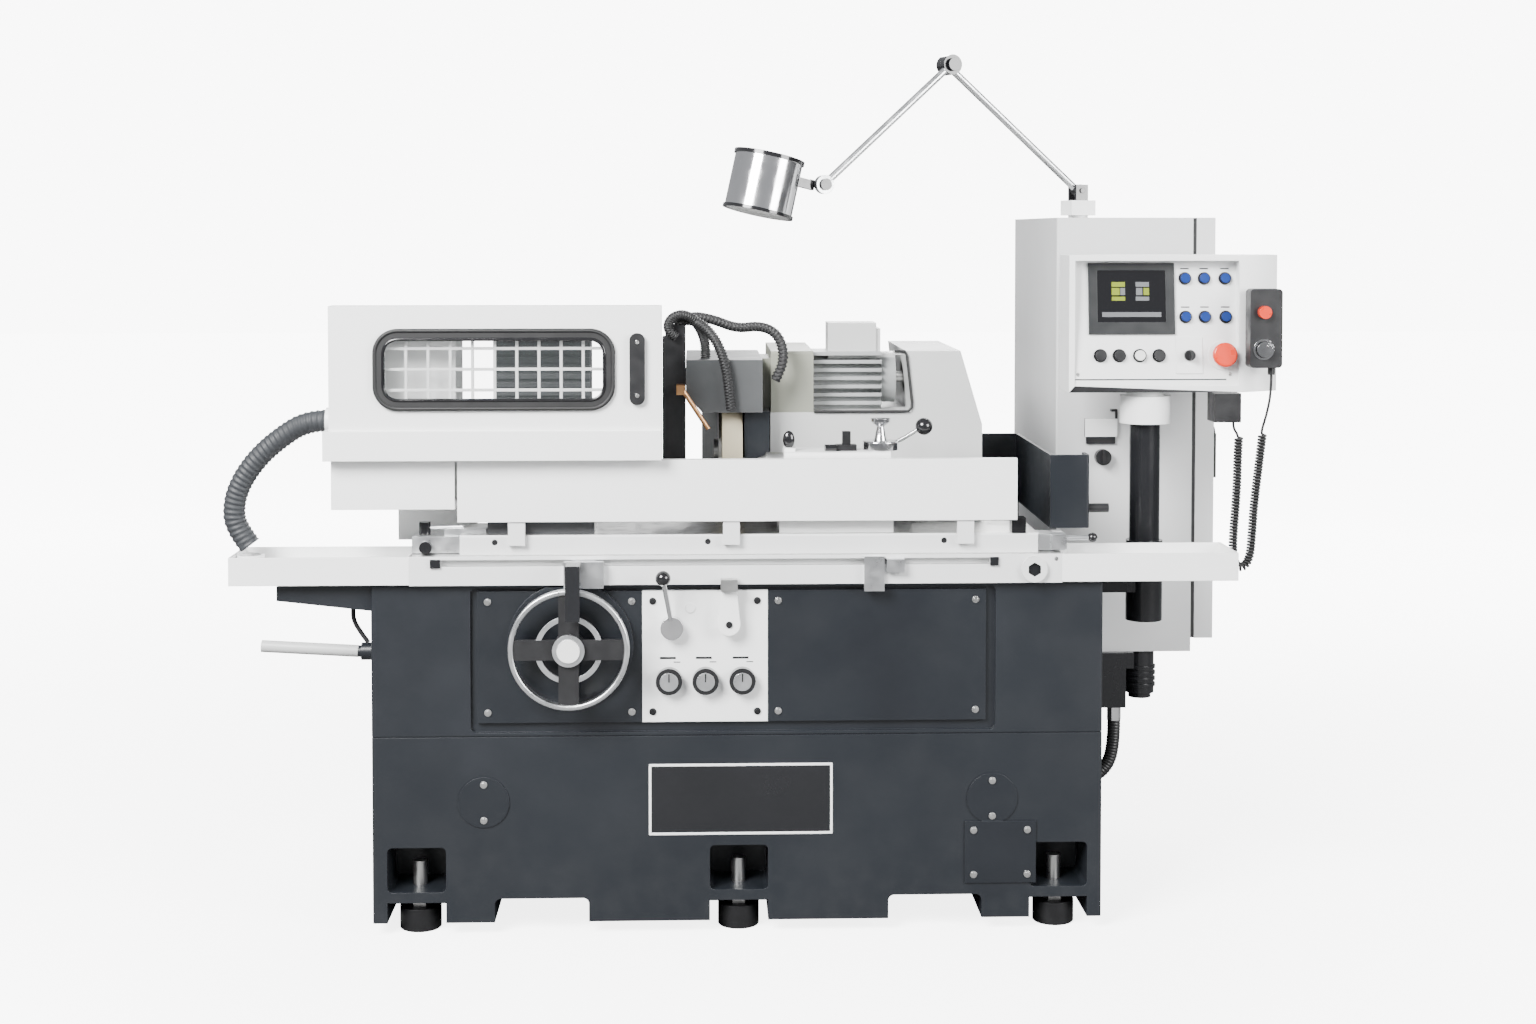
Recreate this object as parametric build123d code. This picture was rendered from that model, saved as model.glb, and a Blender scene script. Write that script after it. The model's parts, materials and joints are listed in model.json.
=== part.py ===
from build123d import *
import os
from math import atan, cos, degrees, pi, radians, sin, tan

# A plain cylindrical grinder: iron bed, sliding and swivelling table with workhead and tailstock,
# wheelhead with its guards, electrical cabinet, operator panel on a post, and a work lamp.
# X runs along the table, Y from the operator to the rear, Z up from the floor. Sizes are millimetres.
# Places are measured from the bed: X = 0 at its middle, Y = 0 at its front face. At the end everything
# is moved so that the origin is on the floor under the middle of the machine.

# ---- fits
FIT = 0.05            # running fit, on the radius or on a sliding face
GAP = 0.4             # air between neighbours that move past each other

# ---- bed
BED_LENGTH = 1752
BED_TOP = 842
FLOOR_GAP = 31        # underside of the casting above the floor
FRONT_DEPTH = 480
REAR_LEFT = -640
REAR_BACK = 1250
CABINET_LEFT = BED_LENGTH / 2 - 20
BED_WALL = 30
FOOT_X = BED_LENGTH / 2 - 105
FOOT_INSET = 75
FOOT_RADIUS = 50
FOOT_SCREW = 17
POCKET_HALF = 70
POCKET_DEPTH = 150
LEDGE = (80, 105)     # iron ledge that each levelling screw passes through
POCKET_TOP = 213
SEAM_Z = 480
RECESS = (-640, 617)
RECESS_Z = (489, 837)
RECESS_DEPTH = 10

# ---- ways
WAY_V_Y = 80
WAY_V_HALF = 16
WAY_FLAT = (180, 225)
RAIL_X = (170, 470)
RAIL_HALF = 30
RAIL_HEIGHT = 38

# ---- plates and controls on the front of the bed
PLATE_THICK = 12
PLATE_Z = (513, 829)
WHEEL_PLATE = (-624, -231)
WHITE_PLATE = (-231, 69)
PLAIN_PLATE = (69, 593)
SCREW_INSET = 25
HAND_X = -402
HAND_Z = 702
HAND_RADIUS = 143
HAND_SHAFT = 15
LEVER_X = -160
LEVER_Z = 742
REVERSE_X = -24
REVERSE_Z = 752
KNOB_X = (-167, -80, 8)
KNOB_Z = 614
KNOB_RADIUS = 31.5
CONTROL_SHAFT = 8

# ---- table
TABLE_BOTTOM = BED_TOP + 4
TABLE_TOP = TABLE_BOTTOM + 70
TABLE_X = (-782, 773)
TABLE_FRONT = -20
TABLE_BACK = 240
SLOT_X = (-708, 600)
TRAY_LEFT = -1207
TRAY_RIGHT = 1199
TRAY_BACK = 157
TRAY_SHEET = 4
SWIVEL_X = (-664, 718)
SWIVEL_BACK = 220
SWIVEL_TOP = TABLE_TOP + 47
SWIVEL_PIN_Y = 110
SWIVEL_PIN = 30

# ---- work line
CENTRE_HEIGHT = 162
AXIS_Z = SWIVEL_TOP + CENTRE_HEIGHT
WORK_Y = 85
WORK_SPINDLE = 32
FACEPLATE_RADIUS = 70
QUILL_RADIUS = 26
WORKHEAD_X = (-600, -345)
TAILSTOCK_X = (98, 372)
TAILSTOCK_TOP = AXIS_Z + QUILL_RADIUS + 5   # a wall of 5 over the quill bore
HEAD_Y = (22, 145)

# ---- guards on the swivel table
GUARD_X = (-667, 665)
GUARD_BOTTOM = SWIVEL_TOP + 34
GUARD_TOP = GUARD_BOTTOM + 147
SHEET = 3
DOOR_X = (-963, -183)
DOOR_BOTTOM = GUARD_TOP + 3
SKIRT_TOP = DOOR_BOTTOM + 70
DOOR_TOP = DOOR_BOTTOM + 364
DOOR_FRONT = -50
DOOR_BACK = 10
WINDOW_X = (-859, -292)
WINDOW_Z = (DOOR_BOTTOM + 118, DOOR_BOTTOM + 311)
WINDOW_CORNER = 58
SEAL = 28
SHROUD_X = (-964, -673)
SHROUD_BACK = 165
CONDUIT_RADIUS = 26.5

# ---- wheelhead
HEAD_SLIDE_TOP = BED_TOP + 143
WHEEL_Y = 385
WHEEL_RADIUS = 200
WHEEL_X = (-37, 13)
WHEEL_BORE = 76
WHEEL_SPINDLE = 40
HOOD_X = (-127, 62)
HOOD_FRONT = 170
HOOD_Z = (AXIS_Z + 115, AXIS_Z + 245)
CHEEK_X = (18, 80)
COVER_X = (84, 618)
COVER_Y = (262, 760)
COVER_SHEET = 4
DECK_Z = AXIS_Z + 107
COVER_TOP = AXIS_Z + 261
MOTOR_Y = 430
MOTOR_Z = AXIS_Z + 186
MOTOR_X = (195, 372)
MOTOR_SHAFT = 14
BELT_X = (452, 490)
DRIVE_PULLEY = 40
SPINDLE_PULLEY = 52

# ---- splash guard at the right
SPLASH_RIGHT = CABINET_LEFT - 91
SPLASH_LEFT = SPLASH_RIGHT - 119
SPLASH_BACK = 620
SPLASH_FRONT = 60
SPLASH_SHEET = 8

# ---- cabinet, post and panel
CABINET_WIDTH = 365
CABINET_Y = (560, 1297)
CABINET_Z = (562, 1723)
CABINET_SHEET = 4
CABINET_DOOR = 50
DOOR_SEAL = 10
POST_X = CABINET_LEFT + 189
POST_Y = 330
POST_RADIUS = 38.5
POST_PIN = 30
SLEEVE_RADIUS = 46.5
SLEEVE_Z = (692, 897)
COLLAR_RADIUS = 64
PANEL_BOTTOM = 1281
PANEL_TOP = 1627
COLLAR_Z = (PANEL_BOTTOM - 84, PANEL_BOTTOM - 13)
PANEL_LEFT = POST_X - 210
PANEL_EDGE = POST_X + 235
PANEL_WING = POST_X + 330
PANEL_Y = (250, 392)
PANEL_SHEET = 4
LEAN = 37             # how far the fascia leans back from its lower to its upper edge
BUTTON_RADIUS = 14
BUTTON_STEM = 5
BUTTON_X = [POST_X + step for step in (-129, -81, -29, 20)]
BUTTON_Z = PANEL_BOTTOM + 92
LIGHT_X = [POST_X + step for step in (89, 138, 191)]
LIGHT_Z = (PANEL_BOTTOM + 189, PANEL_BOTTOM + 286)
KEY_X = POST_X + 97
STOP_X = POST_X + 182
STOP_RADIUS = 31
PRESS = 4             # travel of a push button

# ---- pendant and its curly cord
PENDANT_X = (POST_X + 232, POST_X + 313)
PENDANT_Y = (186, 232)
PENDANT_Z = (PANEL_BOTTOM + 65, PANEL_BOTTOM + 262)
SOCKET_X = (POST_X + 151, POST_X + 217)
SOCKET_Z = (PANEL_BOTTOM - 73, PANEL_BOTTOM)
COIL_RADIUS = 12

# ---- lamp
LAMP_X = CABINET_LEFT + 63
LAMP_Y = 600
LAMP_TURN = 19.6      # degrees that the arm plane is turned from the length of the machine
LAMP_PIVOT_Z = CABINET_Z[1] + 72
ELBOW = (-388, 323)   # from the base pivot to the elbow, along the arm plane and up
WRIST = (-745, 10)    # from the base pivot to the head joint
ARM_RADIUS = 9.5

# ---- covers and nameplate
ROUND_COVER_X = 610
ROUND_COVER_Z = 322
SQUARE_COVER = ((544, 716), (116, 266))
NAMEPLATE = ((-216, 225), (239, 411))
COVER_THICK = 3

# ---- small parts of the table and heads
DOG_LEFT = -415
DOG_RIGHT = 298
CLAMP_X = 346
CLAMP_STEM = 11
HOSE_RADIUS = 12

# ---- cabinet fittings and pump ports
HINGE_Z = [CABINET_Z[0] + step for step in (160, 580, 1000)]
HINGE_PIN = 5
SWITCH = (POST_X - 65, 1086)
LATCH = (CABINET_Y[0] + 60, 1143)
FITTING = (CABINET_LEFT + 170, 610)
HOSE_PORT_Z = CABINET_Z[0] - 250
RETURN_PORT_Z = CABINET_Z[0] - 205

# ---- fascia
FASCIA_X = (PANEL_LEFT + 15, PANEL_EDGE - 15)
FASCIA_Z = (PANEL_BOTTOM + 16, PANEL_TOP - 15)
TILT = degrees(atan(LEAN / (FASCIA_Z[1] - FASCIA_Z[0])))
SCREEN = (POST_X - 48, PANEL_BOTTOM + 235, 219, 181)
PENDANT_DIAL_Z = PENDANT_Z[0] + 46

# ---- lamp joints and can
LAMP_FORK = 14
HEAD_TILT = 13
HEAD_RADIUS = 86


def block(x, y, z):
    """A box between three pairs of limits."""
    size = [high - low for low, high in (x, y, z)]
    middle = [(low + high) / 2 for low, high in (x, y, z)]
    return Pos(*middle) * Box(*size)


def rod_x(y, z, radius, x):
    """A round bar along X."""
    return Pos((x[0] + x[1]) / 2, y, z) * Rot(0, 90, 0) * Cylinder(radius, x[1] - x[0])


def rod_y(x, z, radius, y):
    """A round bar along Y."""
    return Pos(x, (y[0] + y[1]) / 2, z) * Rot(90, 0, 0) * Cylinder(radius, y[1] - y[0])


def rod_z(x, y, radius, z):
    """A round bar along Z."""
    return Pos(x, y, (z[0] + z[1]) / 2) * Cylinder(radius, z[1] - z[0])


def across(outline, y):
    """An outline of (x, z) points, made thick along Y."""
    face = Plane.XZ.offset(-y[1]) * make_face(Polyline(*outline, close=True))
    return extrude(face, y[1] - y[0], dir=(0, -1, 0))


def along(outline, x):
    """An outline of (y, z) points, made long along X."""
    face = Plane.YZ.offset(x[0]) * make_face(Polyline(*outline, close=True))
    return extrude(face, x[1] - x[0], dir=(1, 0, 0))


def upright(outline, z):
    """An outline of (x, y) points, made tall along Z."""
    face = Plane.XY.offset(z[0]) * make_face(Polyline(*outline, close=True))
    return extrude(face, z[1] - z[0], dir=(0, 0, 1))


def rounded(x, y, z, radius):
    """A slab facing the front, with its four corners rounded."""
    face = RectangleRounded(x[1] - x[0], z[1] - z[0], radius)
    place = Plane(origin=((x[0] + x[1]) / 2, y[1], (z[0] + z[1]) / 2), x_dir=(1, 0, 0), z_dir=(0, -1, 0))
    return extrude(place * face, y[1] - y[0])


def bar(start, end, radius):
    """A round bar from one point to another."""
    way = Vector(*end) - Vector(*start)
    return extrude(Plane(origin=start, z_dir=way) * Circle(radius), way.length)


def group(*pieces):
    """Separate solids that share one node."""
    return Compound([solid for piece in pieces for solid in piece.solids()])


def corners(x, z, inset):
    """The four screw places of a plate."""
    return [(a, b) for a in (x[0] + inset, x[1] - inset) for b in (z[0] + inset, z[1] - inset)]


def bent_tube(points, radius, name, fold=0.45):
    """A round tube along straight runs joined by arcs as large as the runs allow."""
    runs = [(Vector(*b) - Vector(*a)).length for a, b in zip(points, points[1:])]
    radii = []
    for i in range(1, len(points) - 1):
        before = Vector(*points[i]) - Vector(*points[i - 1])
        after = Vector(*points[i + 1]) - Vector(*points[i])
        turn = radians(before.get_angle(after))
        radii.append(fold * min(runs[i - 1], runs[i]) / tan(turn / 2))
    path = FilletPolyline(*points, radius=radii)
    first = Vector(*points[1]) - Vector(*points[0])
    tube = sweep(Plane(origin=points[0], z_dir=first) * Circle(radius), path=path)
    share = tube.volume / (pi * radius ** 2 * path.length)
    print(name, "radii", [round(r) for r in radii])
    print(name, "length", round(path.length), "volume share", round(share, 4))
    return tube


# ---- bed -------------------------------------------------------------------------------------------

def foot_places():
    """Middle of each levelling foot, and the front and back of its pocket."""
    front = [(x, FOOT_INSET, (0, POCKET_DEPTH)) for x in (-FOOT_X, 0, FOOT_X)]
    pocket = (REAR_BACK - POCKET_DEPTH, REAR_BACK)
    rear = [(x, REAR_BACK - FOOT_INSET, pocket) for x in (REAR_LEFT + 110, CABINET_LEFT - 110)]
    return front + rear


def bed_casting():
    """T-shaped casting with foot pockets, a plate recess, table ways and wheelhead rails."""
    half = BED_LENGTH / 2
    front = block((-half, half), (0, FRONT_DEPTH), (FLOOR_GAP, BED_TOP))
    front = fillet(front.edges().filter_by(Axis.Z), 6)
    bed = front + block((REAR_LEFT, CABINET_LEFT), (FRONT_DEPTH - 10, REAR_BACK), (FLOOR_GAP, BED_TOP))
    for x in RAIL_X:
        rail = ((x - RAIL_HALF, x + RAIL_HALF), (TABLE_BACK + 24, REAR_BACK - 20))
        bed += block(*rail, (BED_TOP, BED_TOP + RAIL_HEIGHT))
    bed -= rounded(RECESS, (0, RECESS_DEPTH), RECESS_Z, 14)
    for side in (-1, 1):
        notch = sorted((side * 360, side * 585))
        bed -= rounded(notch, (-1, FRONT_DEPTH - 20), (FLOOR_GAP - 30, 88), 14)
        edge = sorted((side * half, side * (half - 3)))
        bed -= block(edge, (0, FRONT_DEPTH), (SEAM_Z - 1.5, SEAM_Z + 1.5))
    bed -= block((-half, half), (0, 3), (SEAM_Z - 1.5, SEAM_Z + 1.5))
    for x, y, pocket in foot_places():
        wide = (x - POCKET_HALF, x + POCKET_HALF)
        bed -= rounded(wide, pocket, (LEDGE[1], POCKET_TOP), 12)
        bed -= block(wide, pocket, (FLOOR_GAP - 1, LEDGE[0]))
        bed -= rod_z(x, y, FOOT_SCREW + 1, LEDGE)
    depth = WAY_V_HALF + 1.5 * FIT
    groove = [(WAY_V_Y - depth, BED_TOP), (WAY_V_Y + depth, BED_TOP), (WAY_V_Y, BED_TOP - depth)]
    bed -= along(groove, (-half, half))
    # cored hollow, closed all round
    wide = (-half + BED_WALL, half - BED_WALL)
    bed -= block(wide, (60, 210), (POCKET_TOP + BED_WALL, BED_TOP - 45))
    bed -= block(wide, (200, FRONT_DEPTH - BED_WALL), (110, BED_TOP - 45))
    rear = (REAR_LEFT + BED_WALL, CABINET_LEFT - BED_WALL)
    bed -= block(rear, (FRONT_DEPTH - BED_WALL - 1, REAR_BACK - POCKET_DEPTH - BED_WALL),
                 (110, BED_TOP - 45))
    return bed


def levelling_feet():
    """Round pads with screws, each locked by a nut that carries the iron ledge."""
    feet = []
    for x, y, _ in foot_places():
        pad = chamfer(rod_z(x, y, FOOT_RADIUS, (0, 56)).edges().filter_by(GeomType.CIRCLE), 2)
        feet.append(pad + rod_z(x, y, FOOT_SCREW, (50, 163)))
        nut = Pos(x, y, 56) * extrude(RegularPolygon(30, 6), LEDGE[0] - 56)
        feet.append(nut - rod_z(x, y, FOOT_SCREW, (56, LEDGE[0])))
    return group(*feet)


def plate_limits():
    """Front and back of the plates that close the recess."""
    return (RECESS_DEPTH - PLATE_THICK, RECESS_DEPTH)


def screwed_plate(x, z, y, inset=SCREW_INSET):
    """A flat plate with a screw hole in each corner."""
    plate = block(x, y, z)
    for a, b in corners(x, z, inset):
        plate -= rod_y(a, b, 3, y)
    return plate


def bed_covers():
    """Handwheel plate with its dial flange, plain plate, round and square covers and nameplate."""
    y = plate_limits()
    front = screwed_plate(WHEEL_PLATE, PLATE_Z, y)
    flange = rod_y(HAND_X, HAND_Z, HAND_RADIUS + 7, (y[0] - 14, y[0]))
    flange -= block((HAND_X - 200, HAND_X + 200), (y[0] - 15, y[0]), (BED_TOP - 2, BED_TOP + 90))
    front += flange
    front -= rod_y(HAND_X, HAND_Z, HAND_SHAFT + FIT, (y[0] - 15, y[1]))
    pieces = [front, screwed_plate(PLAIN_PLATE, PLATE_Z, y)]
    for side in (-1, 1):
        cover = rod_y(side * ROUND_COVER_X, ROUND_COVER_Z, 61, (-COVER_THICK, 0))
        for step in (-43, 43):
            cover -= rod_y(side * ROUND_COVER_X, ROUND_COVER_Z + step, 3, (-COVER_THICK, 0))
        pieces.append(cover)
    pieces.append(screwed_plate(*SQUARE_COVER, (-4, 0), 21))
    border = rounded(NAMEPLATE[0], (-2, 0), NAMEPLATE[1], 3)
    inner = [(low + 6, high - 6) for low, high in NAMEPLATE]
    pieces.append(border - block(inner[0], (-2, -1), inner[1]))
    return group(*pieces)


def control_plate():
    """White plate that carries the levers and the three speed knobs."""
    y = plate_limits()
    plate = screwed_plate(WHITE_PLATE, PLATE_Z, y)
    for x in KNOB_X:
        plate -= rod_y(x, KNOB_Z, CONTROL_SHAFT + FIT, y)
    plate -= rod_y(LEVER_X, LEVER_Z, CONTROL_SHAFT + FIT, y)
    plate -= rod_y(REVERSE_X, REVERSE_Z, CONTROL_SHAFT + FIT, y)
    return plate + rod_y(-116, 787, 12, (y[0] - 1.5, y[0]))


def screw(x, z, face, back):
    """Washer, head and shank of one screw, its head towards the front."""
    washer = rod_y(x, z, 8.5, (face - 2, face))
    return washer + rod_y(x, z, 5.5, (face - 5, face - 2)) + rod_y(x, z, 3, (face, back))


def cover_screws():
    """The screws of every plate on the front of the bed."""
    y = plate_limits()
    places = []
    for x in (WHEEL_PLATE, WHITE_PLATE, PLAIN_PLATE):
        places += [screw(a, b, *y) for a, b in corners(x, PLATE_Z, SCREW_INSET)]
    places += [screw(a, b, -4, 0) for a, b in corners(*SQUARE_COVER, 21)]
    for side in (-1, 1):
        for step in (-43, 43):
            places.append(screw(side * ROUND_COVER_X, ROUND_COVER_Z + step, -COVER_THICK, 0))
    return group(*places)


def drain_pipe():
    """Bracket under the left tray, the sloping drain tube and the short cable between them."""
    side = -BED_LENGTH / 2
    top = BED_TOP - 1
    hanger = across([(side - 224, top), (side, top), (side, top - 59), (side - 224, top - 34)], (10, 150))
    hanger -= block((side - 225, side), (WAY_V_Y - 26, WAY_V_Y + 26), (BED_TOP - WAY_V_HALF - 5, BED_TOP))
    fitting = rod_x(80, 672, 21, (side - 34, side))
    fitting += bar((side - 30, 80, 671.77), (side - 42, 80, 672.467), 14)
    tube = (bar((side - 42, 80, 672.467), (side - 274, 80, 686), 14.5)
            - bar((side - 40, 80, 672.35), (side - 280, 80, 686.35), 12))
    points = [(side - 54, 80, top - 53), (side - 54, 80, 748), (side - 36, 80, 718), (side - 18, 80, 693)]
    cable = bent_tube(points, 5.5, "drain cable")
    return group(hanger, fitting - bar((side - 46, 80, 672.7), (side - 20, 80, 671.2), 12), tube, cable)


# ---- controls on the bed ----------------------------------------------------------------------------

def handwheel():
    """Table handwheel: rim, four broad spokes, inner ring, hub, end button and shaft."""
    x, z, face = HAND_X, HAND_Z, plate_limits()[0]
    rim = rod_y(x, z, HAND_RADIUS, (-84, -58)) - rod_y(x, z, HAND_RADIUS - 13, (-84, -58))
    rim = fillet(rim.edges().filter_by(GeomType.CIRCLE), 5)
    spokes = block((x - HAND_RADIUS + 6, x + HAND_RADIUS - 6), (-79, -64), (z - 24, z + 24))
    spokes += block((x - 24, x + 24), (-79, -64), (z - HAND_RADIUS + 6, z + HAND_RADIUS - 6))
    ring = rod_y(x, z, 80, (-76, -67)) - rod_y(x, z, 68, (-76, -67))
    hub = rod_y(x, z, 38, (-90, -36)) + rod_y(x, z, 27, (-96, -90)) + rod_y(x, z, 24, (-36, face - 15))
    return rim + spokes + ring + hub + rod_y(x, z, HAND_SHAFT, (face - 16, RECESS_DEPTH - 1))


def table_lever():
    """Ball lever that starts and stops the table."""
    face = plate_limits()[0]
    hub = rod_y(LEVER_X, LEVER_Z, 27, (-30, face - 1))
    arm = bar((LEVER_X - 2, -24, LEVER_Z + 16), (LEVER_X - 19, -72, LEVER_Z + 120), 6)
    ball = Pos(LEVER_X - 20, -75, LEVER_Z + 128) * Sphere(18)
    return hub + arm + ball + rod_y(LEVER_X, LEVER_Z, CONTROL_SHAFT, (face - 1, RECESS_DEPTH - 1))


def reversing_lever():
    """Tapered lever that the trip dogs push over at each end of the stroke."""
    face, x, z = plate_limits()[0], REVERSE_X, REVERSE_Z
    body = across([(x - 27, z), (x + 27, z), (x + 18, z + 90), (x - 18, z + 90)], (-34, -24))
    body += rod_y(x, z, 27, (-34, -24)) + rod_y(x, z, 8, (-37, -34))
    body += rod_y(x, z, 18, (-24, face - 1)) + block((x - 20, x + 20), (-51, -27), (z + 82, z + 110))
    return body + rod_y(x, z, CONTROL_SHAFT, (face - 1, RECESS_DEPTH - 1))


def speed_knob(x):
    """Round throttle knob with a raised face and a pointer mark."""
    face = plate_limits()[0]
    knob = rod_y(x, KNOB_Z, KNOB_RADIUS, (-26, face - 1)) + rod_y(x, KNOB_Z, 22, (-30, -26))
    knob += block((x - 1.5, x + 1.5), (-31, -30), (KNOB_Z, KNOB_Z + 20))
    return knob + rod_y(x, KNOB_Z, CONTROL_SHAFT, (face - 1, RECESS_DEPTH - 1))


# ---- table ------------------------------------------------------------------------------------------

def lower_table():
    """Sliding table with its V and flat land below and a T-slot along the front."""
    table = block(TABLE_X, (TABLE_FRONT, TABLE_BACK), (TABLE_BOTTOM, TABLE_TOP))
    drop = TABLE_BOTTOM - BED_TOP
    rail = [(WAY_V_Y - WAY_V_HALF - drop, TABLE_BOTTOM), (WAY_V_Y + WAY_V_HALF + drop, TABLE_BOTTOM),
            (WAY_V_Y, BED_TOP - WAY_V_HALF)]
    table += along(rail, TABLE_X)
    table += block(TABLE_X, WAY_FLAT, (BED_TOP + FIT, TABLE_BOTTOM))
    slot = (TABLE_TOP - 24, TABLE_TOP - 9)
    table -= block(SLOT_X, (TABLE_FRONT, TABLE_FRONT + 9), slot)
    table -= block(SLOT_X, (TABLE_FRONT + 9, TABLE_FRONT + 18), (slot[0] - 6, slot[1] + 3))
    for stop in ((SLOT_X[0] - 24, SLOT_X[0]), (SLOT_X[1], SLOT_X[1] + 20)):
        table += block(stop, (TABLE_FRONT - 6, TABLE_FRONT), (TABLE_TOP - 27, TABLE_TOP - 7))
    boss = rod_y(TABLE_X[1] - 67, TABLE_TOP - 37, 31, (TABLE_FRONT - 10, TABLE_FRONT))
    socket = extrude(Plane(origin=(TABLE_X[1] - 67, TABLE_FRONT - 4, TABLE_TOP - 37), z_dir=(0, -1, 0))
                     * RegularPolygon(17, 6), 8)
    table += boss - socket
    table -= rod_y(TABLE_X[1] - 13, TABLE_TOP - 13, 5, (TABLE_FRONT, TABLE_FRONT + 12))
    return table - rod_z(0, SWIVEL_PIN_Y, SWIVEL_PIN + FIT, (TABLE_BOTTOM + 20, TABLE_TOP))


def end_trays():
    """Open sheet trays at both ends of the table; the left one has the conduit's outlet ring."""
    trays = []
    floor = TABLE_TOP - 31
    for x in ((TRAY_LEFT, TABLE_X[0]), (TABLE_X[1], TRAY_RIGHT)):
        tray = block(x, (TABLE_FRONT, TRAY_BACK), (TABLE_BOTTOM + 2, TABLE_TOP - 1))
        inner = (x[0] + TRAY_SHEET, x[1] - TRAY_SHEET)
        deep = (TABLE_FRONT + TRAY_SHEET, TRAY_BACK - TRAY_SHEET)
        tray -= block(inner, deep, (floor, TABLE_TOP))
        tray -= block(inner, deep, (TABLE_BOTTOM, floor - TRAY_SHEET))
        trays.append(tray)
    x, y = conduit_foot()
    ring = (rod_z(x, y, CONDUIT_RADIUS + 7, (floor, TABLE_TOP - 6))
            - rod_z(x, y, CONDUIT_RADIUS, (floor, TABLE_TOP - 6)))
    return group(trays[0] + ring, trays[1])


def trip_dogs():
    """Two stroke dogs clamped in the table slot and a small pointer block."""
    front = TABLE_FRONT
    slot = (TABLE_TOP - 24 + GAP, TABLE_TOP - 9 - GAP)
    key = (front, front + 8)
    left = block((DOG_LEFT, DOG_LEFT + 94), (front - 26, front), (TABLE_TOP - 74, TABLE_TOP - 11))
    left += block((DOG_LEFT + 20, DOG_LEFT + 74), key, slot)
    left += block((DOG_LEFT + 7, DOG_LEFT + 41), (-112, front - 26), (TABLE_TOP - 25, TABLE_TOP - 11))
    left += block((DOG_LEFT + 7, DOG_LEFT + 41), (-112, -102), (TABLE_TOP - 141, TABLE_TOP - 11))
    right = block((DOG_RIGHT, DOG_RIGHT + 48), (front - 14, front), (TABLE_TOP - 86, TABLE_TOP - 3))
    right += block((DOG_RIGHT + 8, DOG_RIGHT + 40), key, slot)
    pointer = block((DOG_RIGHT + 53, DOG_RIGHT + 96), (front - 20, front), (TABLE_TOP - 40, TABLE_TOP - 9))
    pointer += block((DOG_RIGHT + 60, DOG_RIGHT + 88), key, slot)
    return group(left, right, pointer)


def swivel_table():
    """Upper table that turns on a centre pin to set a taper."""
    table = block(SWIVEL_X, (0, SWIVEL_BACK), (TABLE_TOP + FIT, SWIVEL_TOP))
    front = table.edges().filter_by(Axis.X).group_by(Axis.Z)[-1].sort_by(Axis.Y)[0]
    table = chamfer(front, 4)
    for x in (-581, -74, 492):
        table -= rod_y(x, SWIVEL_TOP - 17, 7, (0, 6))
    return table + rod_z(0, SWIVEL_PIN_Y, SWIVEL_PIN, (TABLE_BOTTOM + 24, TABLE_TOP + 2))


def front_guard():
    """Long sheet guard with folded upper and lower edges."""
    wall = block(GUARD_X, (-20, -20 + SHEET), (GUARD_BOTTOM, GUARD_TOP))
    wall += block(GUARD_X, (-20, 8), (GUARD_TOP - SHEET, GUARD_TOP))
    wall += block(GUARD_X, (-20, 0), (GUARD_BOTTOM, GUARD_BOTTOM + SHEET))
    for x in (GUARD_X[0], GUARD_X[1] - SHEET):
        wall += block((x, x + SHEET), (-20, 0), (GUARD_BOTTOM, GUARD_TOP))
    return wall


def table_clamps():
    """Guard brackets along the front and the clamp sets at both ends of the swivel table."""
    top = SWIVEL_TOP
    pieces = []
    for x in (-528, -18, 542):
        pieces.append(block((x - 20, x + 20), (-16, 0), (top - 23, GUARD_BOTTOM)))
    left, right = SWIVEL_X
    # left: pad on the table end, two knobs on it and a flat handle
    pad = block((left - 116, left), (20, 90), (top - 45, top - 5))
    pad += (block((left - 40, left), (30, 60), (top - 5, top + 12))
            + block((left - 1, left + 60), (30, 60), (top, top + 12)))
    pieces.append(pad)
    pieces.append(rod_z(left - 89, 55, 14, (top - 5, top + 26)))
    pieces.append(rod_y(left - 82, top - 30, 15, (2, 20)))
    pieces.append(bar((left - 75, 55, top + 12), (left + 4, 40, top + 16), 5) - rod_z(left - 89, 55, 14,
                                                                                      (top - 5, top + 26)))
    # right: pad, black block and lever with its knob
    pieces.append(block((right, right + 70), (20, 90), (top - 45, top - 6)))
    pieces.append(block((right - 63, right - 29), (0, 40), (top, top + 36)))
    pieces.append(block((right + 34, right + 70), (2, 20), (top - 40, top - 7)))
    lever = bar((right + 70, 50, top - 20), (right + 132, 50, top - 19), 6)
    pieces.append(lever + Pos(right + 141, 50, top - 19) * Sphere(12))
    return group(*pieces)


# ---- workhead side ----------------------------------------------------------------------------------

def left_shroud():
    """Sheet box at the left end of the door, open to the workhead, on its support plate."""
    low, high = GUARD_BOTTOM + 31, DOOR_TOP - 14
    lower = block(SHROUD_X, (-20, SHROUD_BACK), (low, GUARD_TOP))
    lower -= block((SHROUD_X[0] + SHEET, SHROUD_X[1]), (-20 + SHEET, SHROUD_BACK - SHEET),
                   (low + SHEET, GUARD_TOP - SHEET))
    upper = block(SHROUD_X, (DOOR_BACK + 4, SHROUD_BACK), (GUARD_TOP - SHEET, high))
    upper -= block((SHROUD_X[0] + SHEET, SHROUD_X[1]), (DOOR_BACK + 4 + SHEET, SHROUD_BACK - SHEET),
                   (GUARD_TOP - SHEET, high - SHEET))
    socket = rod_x(conduit_route()[0][1], conduit_route()[0][2], CONDUIT_RADIUS + 5,
                   (SHROUD_X[0] - 24, SHROUD_X[0]))
    plate = block((-840, SWIVEL_X[0] + 20), (SWIVEL_BACK, SWIVEL_BACK + 6), (TABLE_TOP + 6, low))
    plate += block((-840, SHROUD_X[1]), (SHROUD_BACK - 40, SWIVEL_BACK + 6), (low - 6, low))
    return lower + upper + socket + plate


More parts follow.
